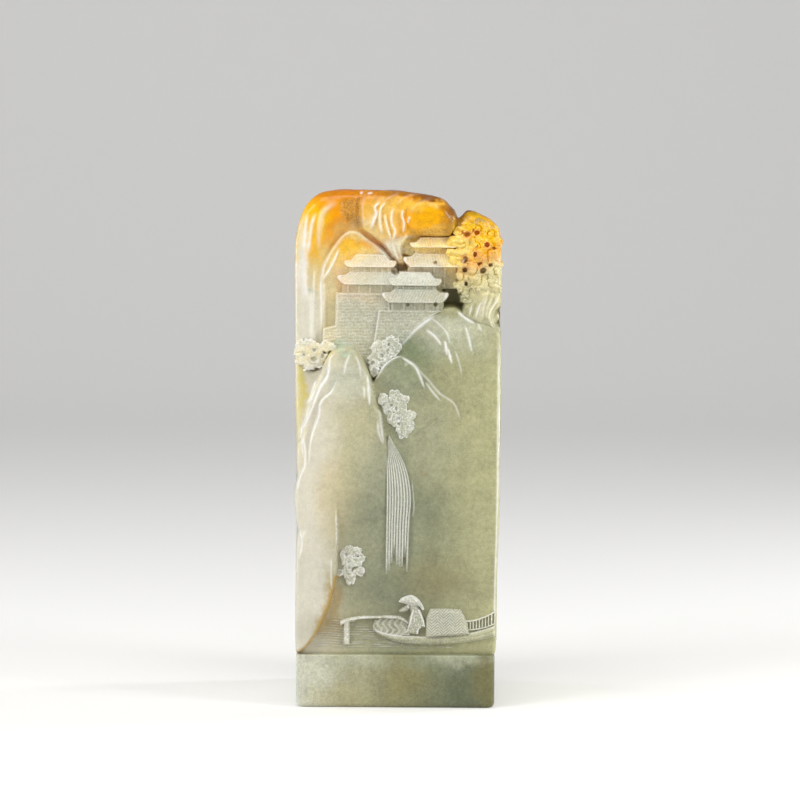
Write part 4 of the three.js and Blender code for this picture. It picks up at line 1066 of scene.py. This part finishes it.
# The right half of a roof's outline: across in shares of the half width, up in shares of its height
LOWER_ROOF = [(0.62, 1), (0.74, 0.78), (0.97, 0.72), (1.0, 0.6), (0.97, 0.42), (0.88, 0.14), (0.78, 0)]
UPPER_ROOF = [(0.44, 1), (0.58, 0.56), (0.77, 0.5), (0.8, 0.36), (0.74, 0.08), (0.66, 0)]


def roof_outline(half_outline, centre_x, half_width, low, high):
    """A roof's outline on the face with both its lifted eave tips."""
    right = [(centre_x + a * half_width, low + b * (high - low)) for a, b in half_outline]
    left = [(2 * centre_x - x, z) for x, z in reversed(right)]
    return np.array(right + left)


def tower_form(tower, pitch):
    """Relief of a gate tower of two storeys under two swept roofs."""
    centre_x, foot = face(tower["across"], tower["levels"][0])
    half = tower["half_width"]
    levels = [face(0, up)[1] for up in tower["levels"]]
    roofs = [(roof_outline(LOWER_ROOF, centre_x, half, levels[1], levels[2]), levels[1], levels[2]),
             (roof_outline(UPPER_ROOF, centre_x, half, levels[3], levels[4]), levels[3], levels[4])]
    # Each storey's foot and head, its share of the half width, its relief and its number of bays
    storeys = [(foot - 0.1, levels[1] + 0.4, 0.84, 0.45, 5),
               (levels[2] - 0.1, levels[3] + 0.3, 0.62, 0.5, 7)]
    lean = tower["lean"]

    def form(x, z):
        out = np.full(x.shape, -1.0)
        highlight_and_white = np.zeros(x.shape)
        for low, high, share, depth, bays in storeys:
            inside = np.minimum(share * half - np.abs(x - centre_x), np.minimum(z - low, high - z))
            in_bay = np.abs(((x - centre_x) / (share * half) * bays / 2) % 1 - 0.5)
            posts = 0.14 * (in_bay > 0.4)
            rail = 0.14 * (np.abs(z - low - 0.42) < 0.06)
            out = np.maximum(out, np.where(inside > 0, depth + np.maximum(posts, rail), 4 * inside))
            # Painted highlights on the posts between the bays
            highlight_and_white = np.maximum(highlight_and_white, np.where(inside > 0, 0.14 * (in_bay > 0.4) + 0.05, 0))
        for outline, low, high in roofs:
            inside = depth_inside(x, z, outline, 1.5)
            t = np.clip((z - low) / (high - low), 0, 1)
            slope = tower["reach"] * (0.5 + 0.5 * (1 - t) ** 1.4)
            row = np.abs(np.sin(math.pi * (x - centre_x + lean * (z - low)) / pitch))
            on_tiles = (t < 0.9) & (inside > 0.2)
            edge = 0.14 * bell(inside, 0.12, 0.09)
            height = raised(inside, 1.0, 0.12) * (slope + 0.09 * row * on_tiles + edge)
            out = np.maximum(out, np.where(inside > 0, height, 4 * inside))
            # Painted highlights on the tile rows, the roof's rim and its lifted eave tips
            shine = np.where(on_tiles, 0.02 + 0.2 * row, 0.1) + 0.35 * bell(inside, 0.1, 0.1)
            shine = shine + 0.5 * step(np.abs(x - centre_x) / half, 0.84, 0.95) * step(t, 0.3, 0.5)
            highlight_and_white = np.where(inside > 0, np.minimum(shine, 0.8), highlight_and_white)
        # Painted shade: the rear tower's lower storey darkens downwards under the rock, and the drilled
        # holes are darker; the highlights fade there
        recess = tower["shade"] * step(z, levels[1] + 0.3, levels[0] + 1.4)
        for *hole, _ in HOLES:
            drilled = 1 - step(from_hole(x, z, *hole), 0.7, 1.2)
            out = out - 0.35 * drilled * (out > 0.4)
            recess = np.maximum(recess, drilled)
        return out, highlight_and_white * (1 - recess), 0.86 * recess

    return form


# Gate towers: levels are the foot and the eaves and top of the lower and of the upper roof. reach is how far
# the eaves stand out in mm, lean the slant of the tile rows and shade how dark the lower storey is.
TOWERS = [
    {"name": "left_gate", "node": "left_gate_tower", "across": -27.0, "half_width": 5.0, "seat": FAR,
     "levels": (77.0, 79.2, 82.0, 83.0, 85.8), "reach": 1.25, "lean": 0.9, "shade": 0.0},
    {"name": "front_gate", "node": "front_gate_tower", "across": 16.6, "half_width": 5.05, "seat": FAR - 0.5,
     "levels": (73.4, 75.4, 78.4, 79.1, 82.1), "reach": 1.25, "lean": -0.5, "shade": 0.0},
    {"name": "rear_gate", "node": "rear_gate_tower", "across": 35.0, "half_width": 4.7, "seat": FAR + 0.2,
     "levels": (78.6, 83.1, 86.1, 87.3, 89.7), "reach": 1.75, "lean": 0.2, "shade": 1.0},
]


class SEAL_OT_gates(bpy.types.Operator):
    """Carve the three gate towers with their tiled roofs"""

    bl_idname = "seal.gates"
    bl_label = "Gate towers"

    def execute(self, context):
        pitch = context.scene.seal_sizes.tile_pitch / MM
        for tower in TOWERS:
            middle, half = tower["across"], tower["half_width"] / HALF_WIDTH * 100 + 1
            low, high = tower["levels"][0] - 0.5, tower["levels"][4] + 0.5
            carving(tower["name"], [tower["node"]], (middle - half, low), (middle + half, high), 0.07,
                    tower_form(tower, pitch), level_seat(tower["seat"]))
        return {"FINISHED"}


# The front wall's corner, along which a highlight is painted
WALL_CORNER = [(-18.8, 73.7), (-24.6, 65)]


def wall_form(points, relief, course, length, joint, has_corner):
    """Relief of a brick wall: courses of the given height and brick length, with joints cut into them."""
    outline = polygon(points)

    def form(x, z):
        inside = np.minimum(depth_inside(x, z, outline), 0.6 - ground_depth(x, z))
        row = np.floor(z / course)
        wander = 0.06 * np.sin(3 * x + row)
        in_row = np.abs((z + wander) / course % 1 - 0.5)
        in_brick = np.abs((x / length + 0.5 * (row % 2) + 0.13 * np.sin(row * 2.1)) % 1 - 0.5)
        joints = np.maximum(step(in_row, 0.3, 0.46), step(in_brick, 0.38, 0.48))
        edge = 0.12 * bell(inside, 0.2, 0.16)
        cut = np.where(inside > 0.3, joint * joints, 0)
        # Painted highlights on the wall's rim and, on the front wall, along its corner; the joints are drawn
        # whiter
        highlight_and_white = 0.2 * joints + 1.6 * edge + 0.08 * chance_at(row, np.floor(x / length), 4)
        if has_corner:
            highlight_and_white = highlight_and_white + 0.6 * bell(to_line(x, z, polygon(WALL_CORNER), 1)[0], 0, 0.2)
        return raised(inside, relief, 0.25) - cut + edge * (inside > 0), np.clip(highlight_and_white, 0, 0.7)

    return form


class SEAL_OT_walls(bpy.types.Operator):
    """Carve the two brick walls under the gates"""

    bl_idname = "seal.walls"
    bl_label = "Brick walls"

    def execute(self, context):
        sizes = context.scene.seal_sizes
        bricks = sizes.course_height / MM, sizes.brick_length / MM, sizes.joint_depth / MM
        carving("left_wall", ["left_brick_wall"], (-76, 58), (-5, 79), 0.085,
                wall_form(LEFT_WALL, 1.1, *bricks, False), level_seat(FAR))
        carving("front_wall", ["front_brick_wall"], (-28, 58), (48, 75), 0.085,
                wall_form(FRONT_WALL, 1.35, *bricks, True), level_seat(FAR))
        return {"FINISHED"}


# Distance between the finest bumps of the foliage, in mm
FINE_LEAF_PITCH = 0.36


def leafy(leaves, holes, relief, seed, pitch, bump, shine):
    """Relief of a foliage cluster: a bed with a scalloped outline, small leaf bumps and drilled holes."""
    chance = random.Random(seed)
    clumps = [(*face(a, u), r, chance.uniform(0.7, 1.0)) for a, u, r in leaves]

    def form(x, z):
        wobble = rough(x, z, 0.8 * pitch, seed, 2)
        bent_x = x + 0.3 * pitch * rough(x, z, pitch, seed + 5, 2)
        bent_z = z + 0.3 * pitch * rough(x, z, pitch, seed + 6, 2)
        lump = np.minimum(np.abs(rough(bent_x, bent_z, 1.5 * pitch, seed + 3)) * 1.6, 1)
        minor = np.abs(rough(bent_x, bent_z, 0.6 * pitch, seed + 4))
        fine = bumps(x, z, FINE_LEAF_PITCH, seed + 7)
        inside = np.full(x.shape, -9.0)
        dome = np.zeros(x.shape)
        for cx, cz, r, top in clumps:
            away = np.hypot(x - cx, z - cz)
            inside = np.maximum(inside, 1.15 * r - away)
            dome = np.maximum(dome, top * bell(away, 0, 1.3 * r))
        inside = inside + 0.2 * wobble + 0.12 * (lump - 0.4)
        grain = bell(fine, 0, 0.45)
        h = raised(inside, 0.6 * relief, 0.3)
        h = h + (inside > 0) * (0.22 * relief * dome + bump * (lump + 0.45 * minor) + 0.07 * grain)
        # Painted shade in the crevices between the lumps and in and around the drilled holes; painted
        # highlights on the rims, the lump tops and round the holes
        recess = 0.45 * step(lump + 0.3 * minor, 0.3, 0.02)
        rim = bell(inside, 0.08, 0.1)
        highlight_and_white = shine * (0.5 * rim + 0.5 * grain * step(lump, 0.3, 0.9))
        for hole in holes:
            distance = from_hole(x, z, *hole) + 0.12 * wobble
            drilled = 1 - step(distance, 0.6, 1.25)
            h = h * (1 - 0.6 * drilled)
            recess = np.maximum(recess, np.maximum(drilled, 0.6 * (1 - step(distance, 1.0, 2.6))))
            highlight_and_white = np.maximum(highlight_and_white, 0.6 * shine * bell(distance, 1.25, 0.2))
        return h, highlight_and_white, np.clip(recess, 0, 0.86)

    return form


class SEAL_OT_foliage(bpy.types.Operator):
    """Carve the foliage clusters with their drilled holes"""

    bl_idname = "seal.foliage"
    bl_label = "Foliage"

    def execute(self, context):
        full, half = "frosted_jade", "half_frosted_jade"
        clusters = [
            ("left", LEFT_LEAVES, LEFT_HOLES, (-101, 60), (-59, 68), 0.3, 11, GROUND, half, SKIN),
            ("wall", WALL_LEAVES, WALL_HOLES, (-31, 57.5), (6, 70), 0.5, 12, GROUND + 0.3, full, CARVED),
            ("cliff", CLIFF_LEAVES, CLIFF_HOLES, (-19, 45.5), (20, 58), 0.36, 13, GROUND, full, CARVED),
            ("shore", SHORE_LEAVES, SHORE_HOLES, (-59, 13.5), (-27, 24.5), 0.32, 14, GROUND, full, CARVED),
        ]
        pitch, bump, shine = 0.6, 0.12, 1.0
        for place, leaves, holes, low, high, relief, seed, seat, look, slot in clusters:
            form = leafy(leaves, holes, relief, seed, pitch, bump, shine)
            carving(place + "_leaves", [place + "_foliage"], low, high, 0.075, form, level_seat(seat), look,
                    sink=0.5, slot=slot)
        return {"FINISHED"}


class SEAL_OT_pine(bpy.types.Operator):
    """Carve the pine at the upper right: its pierced foliage and its grooved trunk"""

    bl_idname = "seal.pine"
    bl_label = "Pine"

    def execute(self, context):
        leaves = leafy(PINE_LEAVES, PINE_HOLES, 1.7, 21, 0.62, 0.34, 0.3)
        carving("pine_leaves", ["right_pine_foliage"], (46, 74.5), (102, 95.5), 0.08, leaves,
                level_seat(FAR), "polished_jade", sink=0.5, slot=SKIN)
        outline = np.vstack([
            spline([(60, 72), (64, 75), (68, 79)], 3), spline([(100, 79), (99.5, 75.6)], 3),
            spline([(97.5, 75.4), (92.4, 74), (92.2, 71.4), (96.5, 69.6)], 4),
            spline([(96, 68), (66, 69)], 2)])
        # Lines of the trunk's strands and the strength of the painted highlight along each
        strands = [
            ([(75.6, 72.2), (77.5, 74), (81, 76)], 0.8), ([(82, 72), (82.8, 74), (86.5, 77.5)], 0.5),
            ([(87.8, 71.9), (89.5, 73.6), (94, 75.3), (98.6, 77.5)], 0.6), ([(69.5, 73), (71.5, 75)], 0.6),
            ([(79, 71.8), (80, 73.5), (83.5, 77)], 0.25), ([(85.5, 72.4), (87, 74.4), (92, 77)], 0.3)]

        def form(x, z):
            inside = np.minimum(depth_inside(x, z, outline), 0.6 - ground_depth(x, z))
            h = raised(inside, 1.4, 0.5)
            highlight_and_white = np.zeros(x.shape)
            for points, highlight_strength in strands:
                distance, share, _ = to_line(x, z, spline(points), 1.5)
                h = h + 0.4 * bell(distance, 0, 0.3) * (inside > 0)
                taper = np.sin(math.pi * np.clip(share, 0.05, 0.95))
                highlight_and_white = np.maximum(highlight_and_white, highlight_strength * bell(distance, 0, 0.16 * taper))
            return h, highlight_and_white

        carving("pine_trunk", ["right_pine_trunk"], (58, 67), (101, 80), 0.09, form, level_seat(FAR),
                "polished_jade", sink=0.5)
        return {"FINISHED"}


class SEAL_OT_waterfall(bpy.types.Operator):
    """Carve the waterfall in falling strands"""

    bl_idname = "seal.waterfall"
    bl_label = "Waterfall"

    def execute(self, context):
        left = spline([(-8, 47), (-10.4, 44), (-10, 35.2), (-10.2, 26), (-10.4, 17)])
        right = spline([(-7.4, 47), (0.6, 43.8), (7.6, 40.8), (12.4, 37.1), (14.4, 32.8), (12.7, 27.5),
                        (11.6, 17)])
        chance = random.Random(31)
        strands = 9
        ends = [21.5 + chance.uniform(-2.2, 2.2) - 1.5 * abs(i - 4) / 4 for i in range(strands)]
        ends = np.array([face(0, up)[1] for up in ends])

        def form(x, z):
            x0 = np.interp(-z, -left[:, 1], left[:, 0])
            x1 = np.interp(-z, -right[:, 1], right[:, 0])
            u = (x - x0) / np.maximum(x1 - x0, 0.05)
            place = np.clip((u * strands).astype(int), 0, strands - 1)
            fade = step(z - ends[place], -1.2, 1.6)
            wide = np.clip((x1 - x0) / 2.2, 0, 1)
            strand = 0.6 * (1 - wide) + wide * np.abs(np.sin(math.pi * u * strands + 0.5 * np.sin(5 * u)))
            h = (0.3 + 0.2 * strand) * fade - 1.3 * (fade < 0.05)
            edge = np.minimum(x - x0, x1 - x) * 4
            h = np.minimum(h, np.minimum(edge + 0.05, (left[0, 1] - z) * 4))
            return h, fade * np.clip(0.8 * strand - 0.25, 0, 0.5)

        carving("falling_water", ["waterfall"], (-11, 16), (17, 47.5), 0.07, form, level_seat(GROUND))
        return {"FINISHED"}


class SEAL_OT_boat(bpy.types.Operator):
    """Carve the boat: its hull, woven cabin, bow beam and slatted stern rail"""

    bl_idname = "seal.boat"
    bl_label = "Boat"

    def execute(self, context):
        gunwale, keel = spline(GUNWALE), spline(KEEL)
        bow = spline([(-22.3, 4.9), (-21.5, 6), (-19, 6.9), (-2.5, 7.1), (6.2, 6.7), (12, 5.6), (14, 3.4)])
        hull_outline = np.vstack([gunwale, keel])
        side_outline = np.vstack([bow, gunwale[8:0:-1]])

        def hull(x, z):
            lower = depth_inside(x, z, hull_outline)
            rim = bell(to_line(x, z, gunwale, 1.0)[0], 0, 0.11)
            lines = rim + 0.7 * bell(to_line(x, z, keel, 1.0)[0], 0, 0.09)
            plank = np.sin((z - np.interp(x, gunwale[:, 0], gunwale[:, 1])) * 2 * math.pi / 0.62)
            h = raised(lower, 0.7, 0.5) + 0.14 * lines + np.where(lower > 0.1, 0.03 * plank, 0)
            upper = depth_inside(x, z, side_outline)
            strokes = np.sin(7 * x + 2.4 * np.sin(3.1 * z))
            h = np.maximum(h, np.where(upper > 0, 0.3 + 0.05 * strokes, 4 * upper))
            return h, np.clip(0.6 * lines + 0.25 * (upper > 0) * (strokes > 0.3), 0, 0.7)

        cabin_outline = polygon([(29.6, 3.0), (29.6, 7.1), (33.5, 9.2), (47.7, 9.3), (63.8, 9.1), (67, 7.6),
                                 (69.6, 6.4), (72.1, 3.6)])
        band_width, strand_pitch = 0.9, 0.44

        def cabin(x, z):
            inside = depth_inside(x, z, cabin_outline)
            band = np.floor(x / band_width)
            slant = np.where(band % 2 > 0, 1, -1) * 0.9 * (x - band * band_width)
            weave = np.abs(np.sin(math.pi * (z + slant) / strand_pitch)) ** 2
            return raised(inside, 0.95, 0.5) + 0.1 * weave * (inside > 0), 0.45 * weave

        beam_outline = np.vstack([
            spline([(-54.6, 5.9), (-53.6, 6.6), (-45.8, 7.1), (-35.5, 7.5), (-21.9, 7.6), (-2.6, 7.7),
                    (6.7, 7.3), (13.5, 6.2)]),
            spline([(13, 5.6), (6, 6.6), (-2.6, 7.0), (-21.9, 7.0), (-35.5, 6.8), (-44, 6.3), (-53.6, 5.5)]),
        ])
        post_outline = polygon([(-50.6, 6.5), (-44.9, 6.5), (-44.5, 1.2), (-50.8, 1.2)])

        def beam(x, z):
            across = depth_inside(x, z, beam_outline)
            post = depth_inside(x, z, post_outline)
            highlight_and_white = np.clip(0.25 + 0.3 * rough(x, z, 0.4, 6), 0, 0.6) * (across > 0) + 0.3 * (post > 0.2)
            return np.maximum(raised(across, 0.8, 0.3), raised(post, 0.6, 0.3)), highlight_and_white

        rail_top = spline([(68.4, 6.6), (76.4, 6.7), (86.7, 7.5), (96.6, 8.6)])
        rail_foot = spline([(70.2, 4.7), (79.8, 4.9), (89, 5.4), (96.6, 6.1)])
        slat_pitch = 0.46

        def rail(x, z):
            upper = np.interp(x, rail_top[:, 0], rail_top[:, 1])
            lower = np.interp(x, rail_foot[:, 0], rail_foot[:, 1])
            within = (x > rail_top[0, 0]) & (x < rail_top[-1, 0])
            bars = np.maximum(0.13 - np.abs(z - upper), 0.11 - np.abs(z - lower))
            slats = 0.11 - np.abs((x / slat_pitch) % 1 - 0.5) * slat_pitch
            slats = np.minimum(slats, np.minimum(upper - z, z - lower))
            inside = np.where(within, np.maximum(bars, slats), -1.0)
            return raised(inside, 0.45, 0.1), np.full(x.shape, 0.3)

        parts = [("boat_side", "boat_hull", (-25, 0), (99, 8), 0.08, hull, "half_frosted_jade"),
                 ("mat_cabin", "boat_cabin", (28, 2.5), (74, 9.9), 0.07, cabin, "half_frosted_jade"),
                 ("bow_beam", "boat_bow_beam", (-57, 0.6), (15, 8.4), 0.085, beam, "frosted_jade"),
                 ("stern_rail", "boat_stern_rail", (67, 3.8), (98, 9.4), 0.06, rail, "frosted_jade")]
        for name, cad, low, high, cell, form, look in parts:
            carving(name, [cad], low, high, cell, form, stone_seat, look, sink=0.3)
        return {"FINISHED"}


class SEAL_OT_boatman(bpy.types.Operator):
    """Carve the small boatman in a straw hat and cape"""

    bl_idname = "seal.boatman"
    bl_label = "Boatman"

    def execute(self, context):
        hat = spline([(2.4, 10.7), (5.1, 11.5), (8.9, 11.9), (13.5, 12.2), (16.9, 12.1), (21.4, 11.5),
                      (25.4, 10.4), (27.8, 9.1), (25, 9), (22.1, 9.8), (15.8, 9.9), (9, 10.3),
                      (6.5, 10.4)], 3)
        flare = spline([(13.5, 10.6), (8, 9.7), (3.4, 8.9), (4.2, 8.4), (9, 8.5), (14, 9.3)], 3)
        cape = polygon([(12.8, 10.4), (21.8, 10), (24.8, 8.6), (28.6, 6.3), (29.4, 5.2), (21, 4.6),
                        (12, 4.8), (12.4, 6.4), (14.6, 8.2)])
        robe = polygon([(13.4, 5.4), (22.8, 5.2), (22, 3.6), (9, 3.9)])
        lines = [[(17, 9), (15, 7.4), (13.6, 5.9), (9.6, 4)], [(22.4, 9), (26, 7.3), (28.5, 5.4)],
                 [(22.6, 5), (21.2, 3.9)]]
        tip_x, tip_z = face(15, 0)[0], face(0, 13)[1]

        def form(x, z):
            h = raised(depth_inside(x, z, cape), 0.7, 0.6)
            h = np.maximum(h, raised(depth_inside(x, z, robe), 0.5, 0.5))
            h = np.maximum(h, raised(depth_inside(x, z, flare), 0.85, 0.4))
            brim = depth_inside(x, z, hat)
            below_tip = np.clip(tip_z - z, 0.2, 3)
            straw = np.sin(14 * (x - tip_x) / (0.4 + below_tip))
            h = np.maximum(h, raised(brim, 1.1, 0.7) + np.where(brim > 0, 0.04 * straw, 0))
            highlight_and_white = 0.25 * (brim > 0) + 0.45 * bell(brim, 0.1, 0.12)
            for points in lines:
                line = bell(to_line(x, z, spline(points), 1.0)[0], 0, 0.12)
                h = h + 0.2 * line * (h > 0)
                highlight_and_white = np.maximum(highlight_and_white, 0.9 * line)
            return h, highlight_and_white

        carving("boatman", ["fisherman"], (1, 3.2), (31, 12.8), 0.06, form, stone_seat, "frosted_jade",
                sink=0.3)
        return {"FINISHED"}


class SEAL_OT_ripples(bpy.types.Operator):
    """Cut the fine ripples of the water as thin raised lines"""

    bl_idname = "seal.ripples"
    bl_label = "Ripples"

    def execute(self, context):
        chance = random.Random(41)
        strokes = []
        row_pitch, rows = 0.55, 12
        for row in range(rows):
            up = 0.8 + row * row_pitch
            left_limit = np.interp(up, [0, 3, 6, 8], [-88, -80, -68, -62])
            right_limit = np.interp(up, [0, 1.2, 3, 5, 8], [90, 40, -14, -24, -58])
            start = left_limit + chance.uniform(0, 6)
            while start < right_limit - 4:
                end = min(start + chance.uniform(12, 45), right_limit)
                strokes.append((start, end, up + chance.uniform(-0.15, 0.15), chance.uniform(-0.1, 0.1)))
                start = end + chance.uniform(-6, 5)

        swell_x = face(-68, 0)[0]

        def form(x, z):
            h = np.full(x.shape, -0.2)
            for start, end, up, bow in strokes:
                (x0, z0), (x1, _) = face(start, up), face(end, up)
                t = np.clip((x - x0) / (x1 - x0), 0, 1)
                level = z0 + bow * np.sin(math.pi * t) + 0.25 * np.exp(-((x - swell_x) ** 2) / 6)
                inside = 0.06 * np.sin(math.pi * t) ** 0.5 - np.abs(z - level)
                inside = np.where((x > x0) & (x < x1), inside, -0.2)
                h = np.maximum(h, np.where(inside > 0, 0.04 + inside, 3 * inside))
            return h, 0.25 * (h > 0)

        carving("water_ripples", [], (-90, 0.4), (92, 8.2), 0.07, form, stone_seat, sink=0.12)
        return {"FINISHED"}


# Lamps: place, the height that each points at and size in mm, and power
LAMPS = {
    "key_left": ((-330, -260, 260), 45, (220, 320), 1.08),
    "fill_right": ((340, -200, 160), 40, (120, 340), 0.75),
    "edge_right": ((330, 110, 70), 40, (50, 300), 0.9),
    "edge_left": ((-330, 110, 70), 40, (50, 300), 0.35),
    "top": ((0, -160, 400), 40, (300, 200), 0.5),
}


def floor_sheet():
    """A paper sheet that lies under the seal and bends up behind it."""
    half_width, in_front, flat, length, bend_radius = 1200, 900, 1400, 2000, 300
    bm = bmesh.new()
    bmesh.ops.create_grid(bm, x_segments=40, y_segments=60, size=1)
    for v in bm.verts:
        run = (v.co.y + 1) * length / 2
        past = max(0, run - flat)
        turn = min(past / bend_radius, math.pi / 2)
        upright = max(0, past - bend_radius * math.pi / 2)
        y = run - in_front - past + bend_radius * math.sin(turn)
        v.co = (v.co.x * half_width, y, bend_radius * (1 - math.cos(turn)) + upright)
    return bm


def floor_paper(colour):
    """Plain matt paper, a little brighter where the camera sees it, without more light on the seal."""
    paper = bpy.data.materials.new("stage_paper")
    paper.use_nodes = True
    tree = paper.node_tree
    shader = tree.nodes["Principled BSDF"]
    shader.inputs["Base Color"].default_value = colour
    shader.inputs["Roughness"].default_value = 0.9
    shader.inputs["Emission Color"].default_value = colour
    seen = node(tree, "ShaderNodeLightPath").outputs["Is Camera Ray"]
    tree.links.new(maths(tree, "MULTIPLY", seen, 0.3), shader.inputs["Emission Strength"])
    return paper


def towards(place, target):
    """The turn of a lamp or camera at a place that looks at a target."""
    return (target - place).to_track_quat("-Z", "Y").to_euler()


class SEAL_OT_stage(bpy.types.Operator):
    """Set the floor, backdrop, lights and camera"""

    bl_idname = "seal.stage"
    bl_label = "Stage"

    def execute(self, context):
        scene = context.scene
        paper = floor_paper(tuple(scene.seal_colours.floor_colour) + (1.0,))
        finished("stage_floor", floor_sheet(), paper)
        for name, (place, height, (width, breadth), power) in LAMPS.items():
            data = bpy.data.lights.new(name, "AREA")
            data.shape = "RECTANGLE"
            data.size, data.size_y = width * MM, breadth * MM
            data.energy = power
            lamp = bpy.data.objects.new(name, data)
            scene.collection.objects.link(lamp)
            lamp.location = Vector(place) * MM
            lamp.rotation_euler = towards(Vector(place), Vector((0, 0, height)))
        world = bpy.data.worlds.new("studio")
        world.use_nodes = True
        background = world.node_tree.nodes["Background"]
        background.inputs["Color"].default_value = (0.9, 0.92, 0.95, 1)
        background.inputs["Strength"].default_value = 0.28
        scene.world = world

        camera_data = bpy.data.cameras.new("camera")
        camera_data.sensor_width = 36
        camera_data.lens = 180
        camera_data.clip_start = 0.01
        camera = bpy.data.objects.new("camera", camera_data)
        scene.collection.objects.link(camera)
        elevation, roll, distance = math.radians(4.5), math.radians(0.4), 600
        target = Vector((0.42, FRONT, 46.7))
        place = target + Vector((0, -math.cos(elevation), math.sin(elevation))) * distance
        camera.location = place * MM
        camera.rotation_euler = towards(place, target)
        camera.rotation_euler.rotate_axis("Z", roll)
        scene.camera = camera
        scene.view_settings.view_transform = "Standard"
        return {"FINISHED"}


class SEAL_PT_panel(bpy.types.Panel):
    """Lists the steps that build the seal"""

    bl_idname = "SEAL_PT_panel"
    bl_label = "Carved jade seal"
    bl_space_type = "VIEW_3D"
    bl_region_type = "UI"
    bl_category = "Seal"

    def draw(self, context):
        for operator in OPERATORS:
            self.layout.operator(operator.bl_idname)
        for group in (context.scene.seal_sizes, context.scene.seal_colours):
            for key in group.__annotations__:
                self.layout.prop(group, key)


OPERATORS = (SEAL_OT_stone, SEAL_OT_base, SEAL_OT_gates, SEAL_OT_walls, SEAL_OT_foliage, SEAL_OT_pine,
             SEAL_OT_waterfall, SEAL_OT_boat, SEAL_OT_boatman, SEAL_OT_ripples, SEAL_OT_stage)


CLASSES = (SealColours, SealSizes, *OPERATORS, SEAL_PT_panel)


def register():
    """Adds the operators, the panel and the settings."""
    for item in CLASSES:
        bpy.utils.register_class(item)
    bpy.types.Scene.seal_colours = bpy.props.PointerProperty(type=SealColours)
    bpy.types.Scene.seal_sizes = bpy.props.PointerProperty(type=SealSizes)


def unregister():
    """Takes the settings, the panel and the operators away."""
    del bpy.types.Scene.seal_sizes
    del bpy.types.Scene.seal_colours
    for item in reversed(CLASSES):
        bpy.utils.unregister_class(item)


def main():
    """Builds every piece and the stage."""
    register()
    bpy.ops.seal.stone()
    bpy.ops.seal.base()
    bpy.ops.seal.gates()
    bpy.ops.seal.walls()
    bpy.ops.seal.foliage()
    bpy.ops.seal.pine()
    bpy.ops.seal.waterfall()
    bpy.ops.seal.boat()
    bpy.ops.seal.boatman()
    bpy.ops.seal.ripples()
    bpy.ops.seal.stage()


if __name__ == "__main__":
    main()
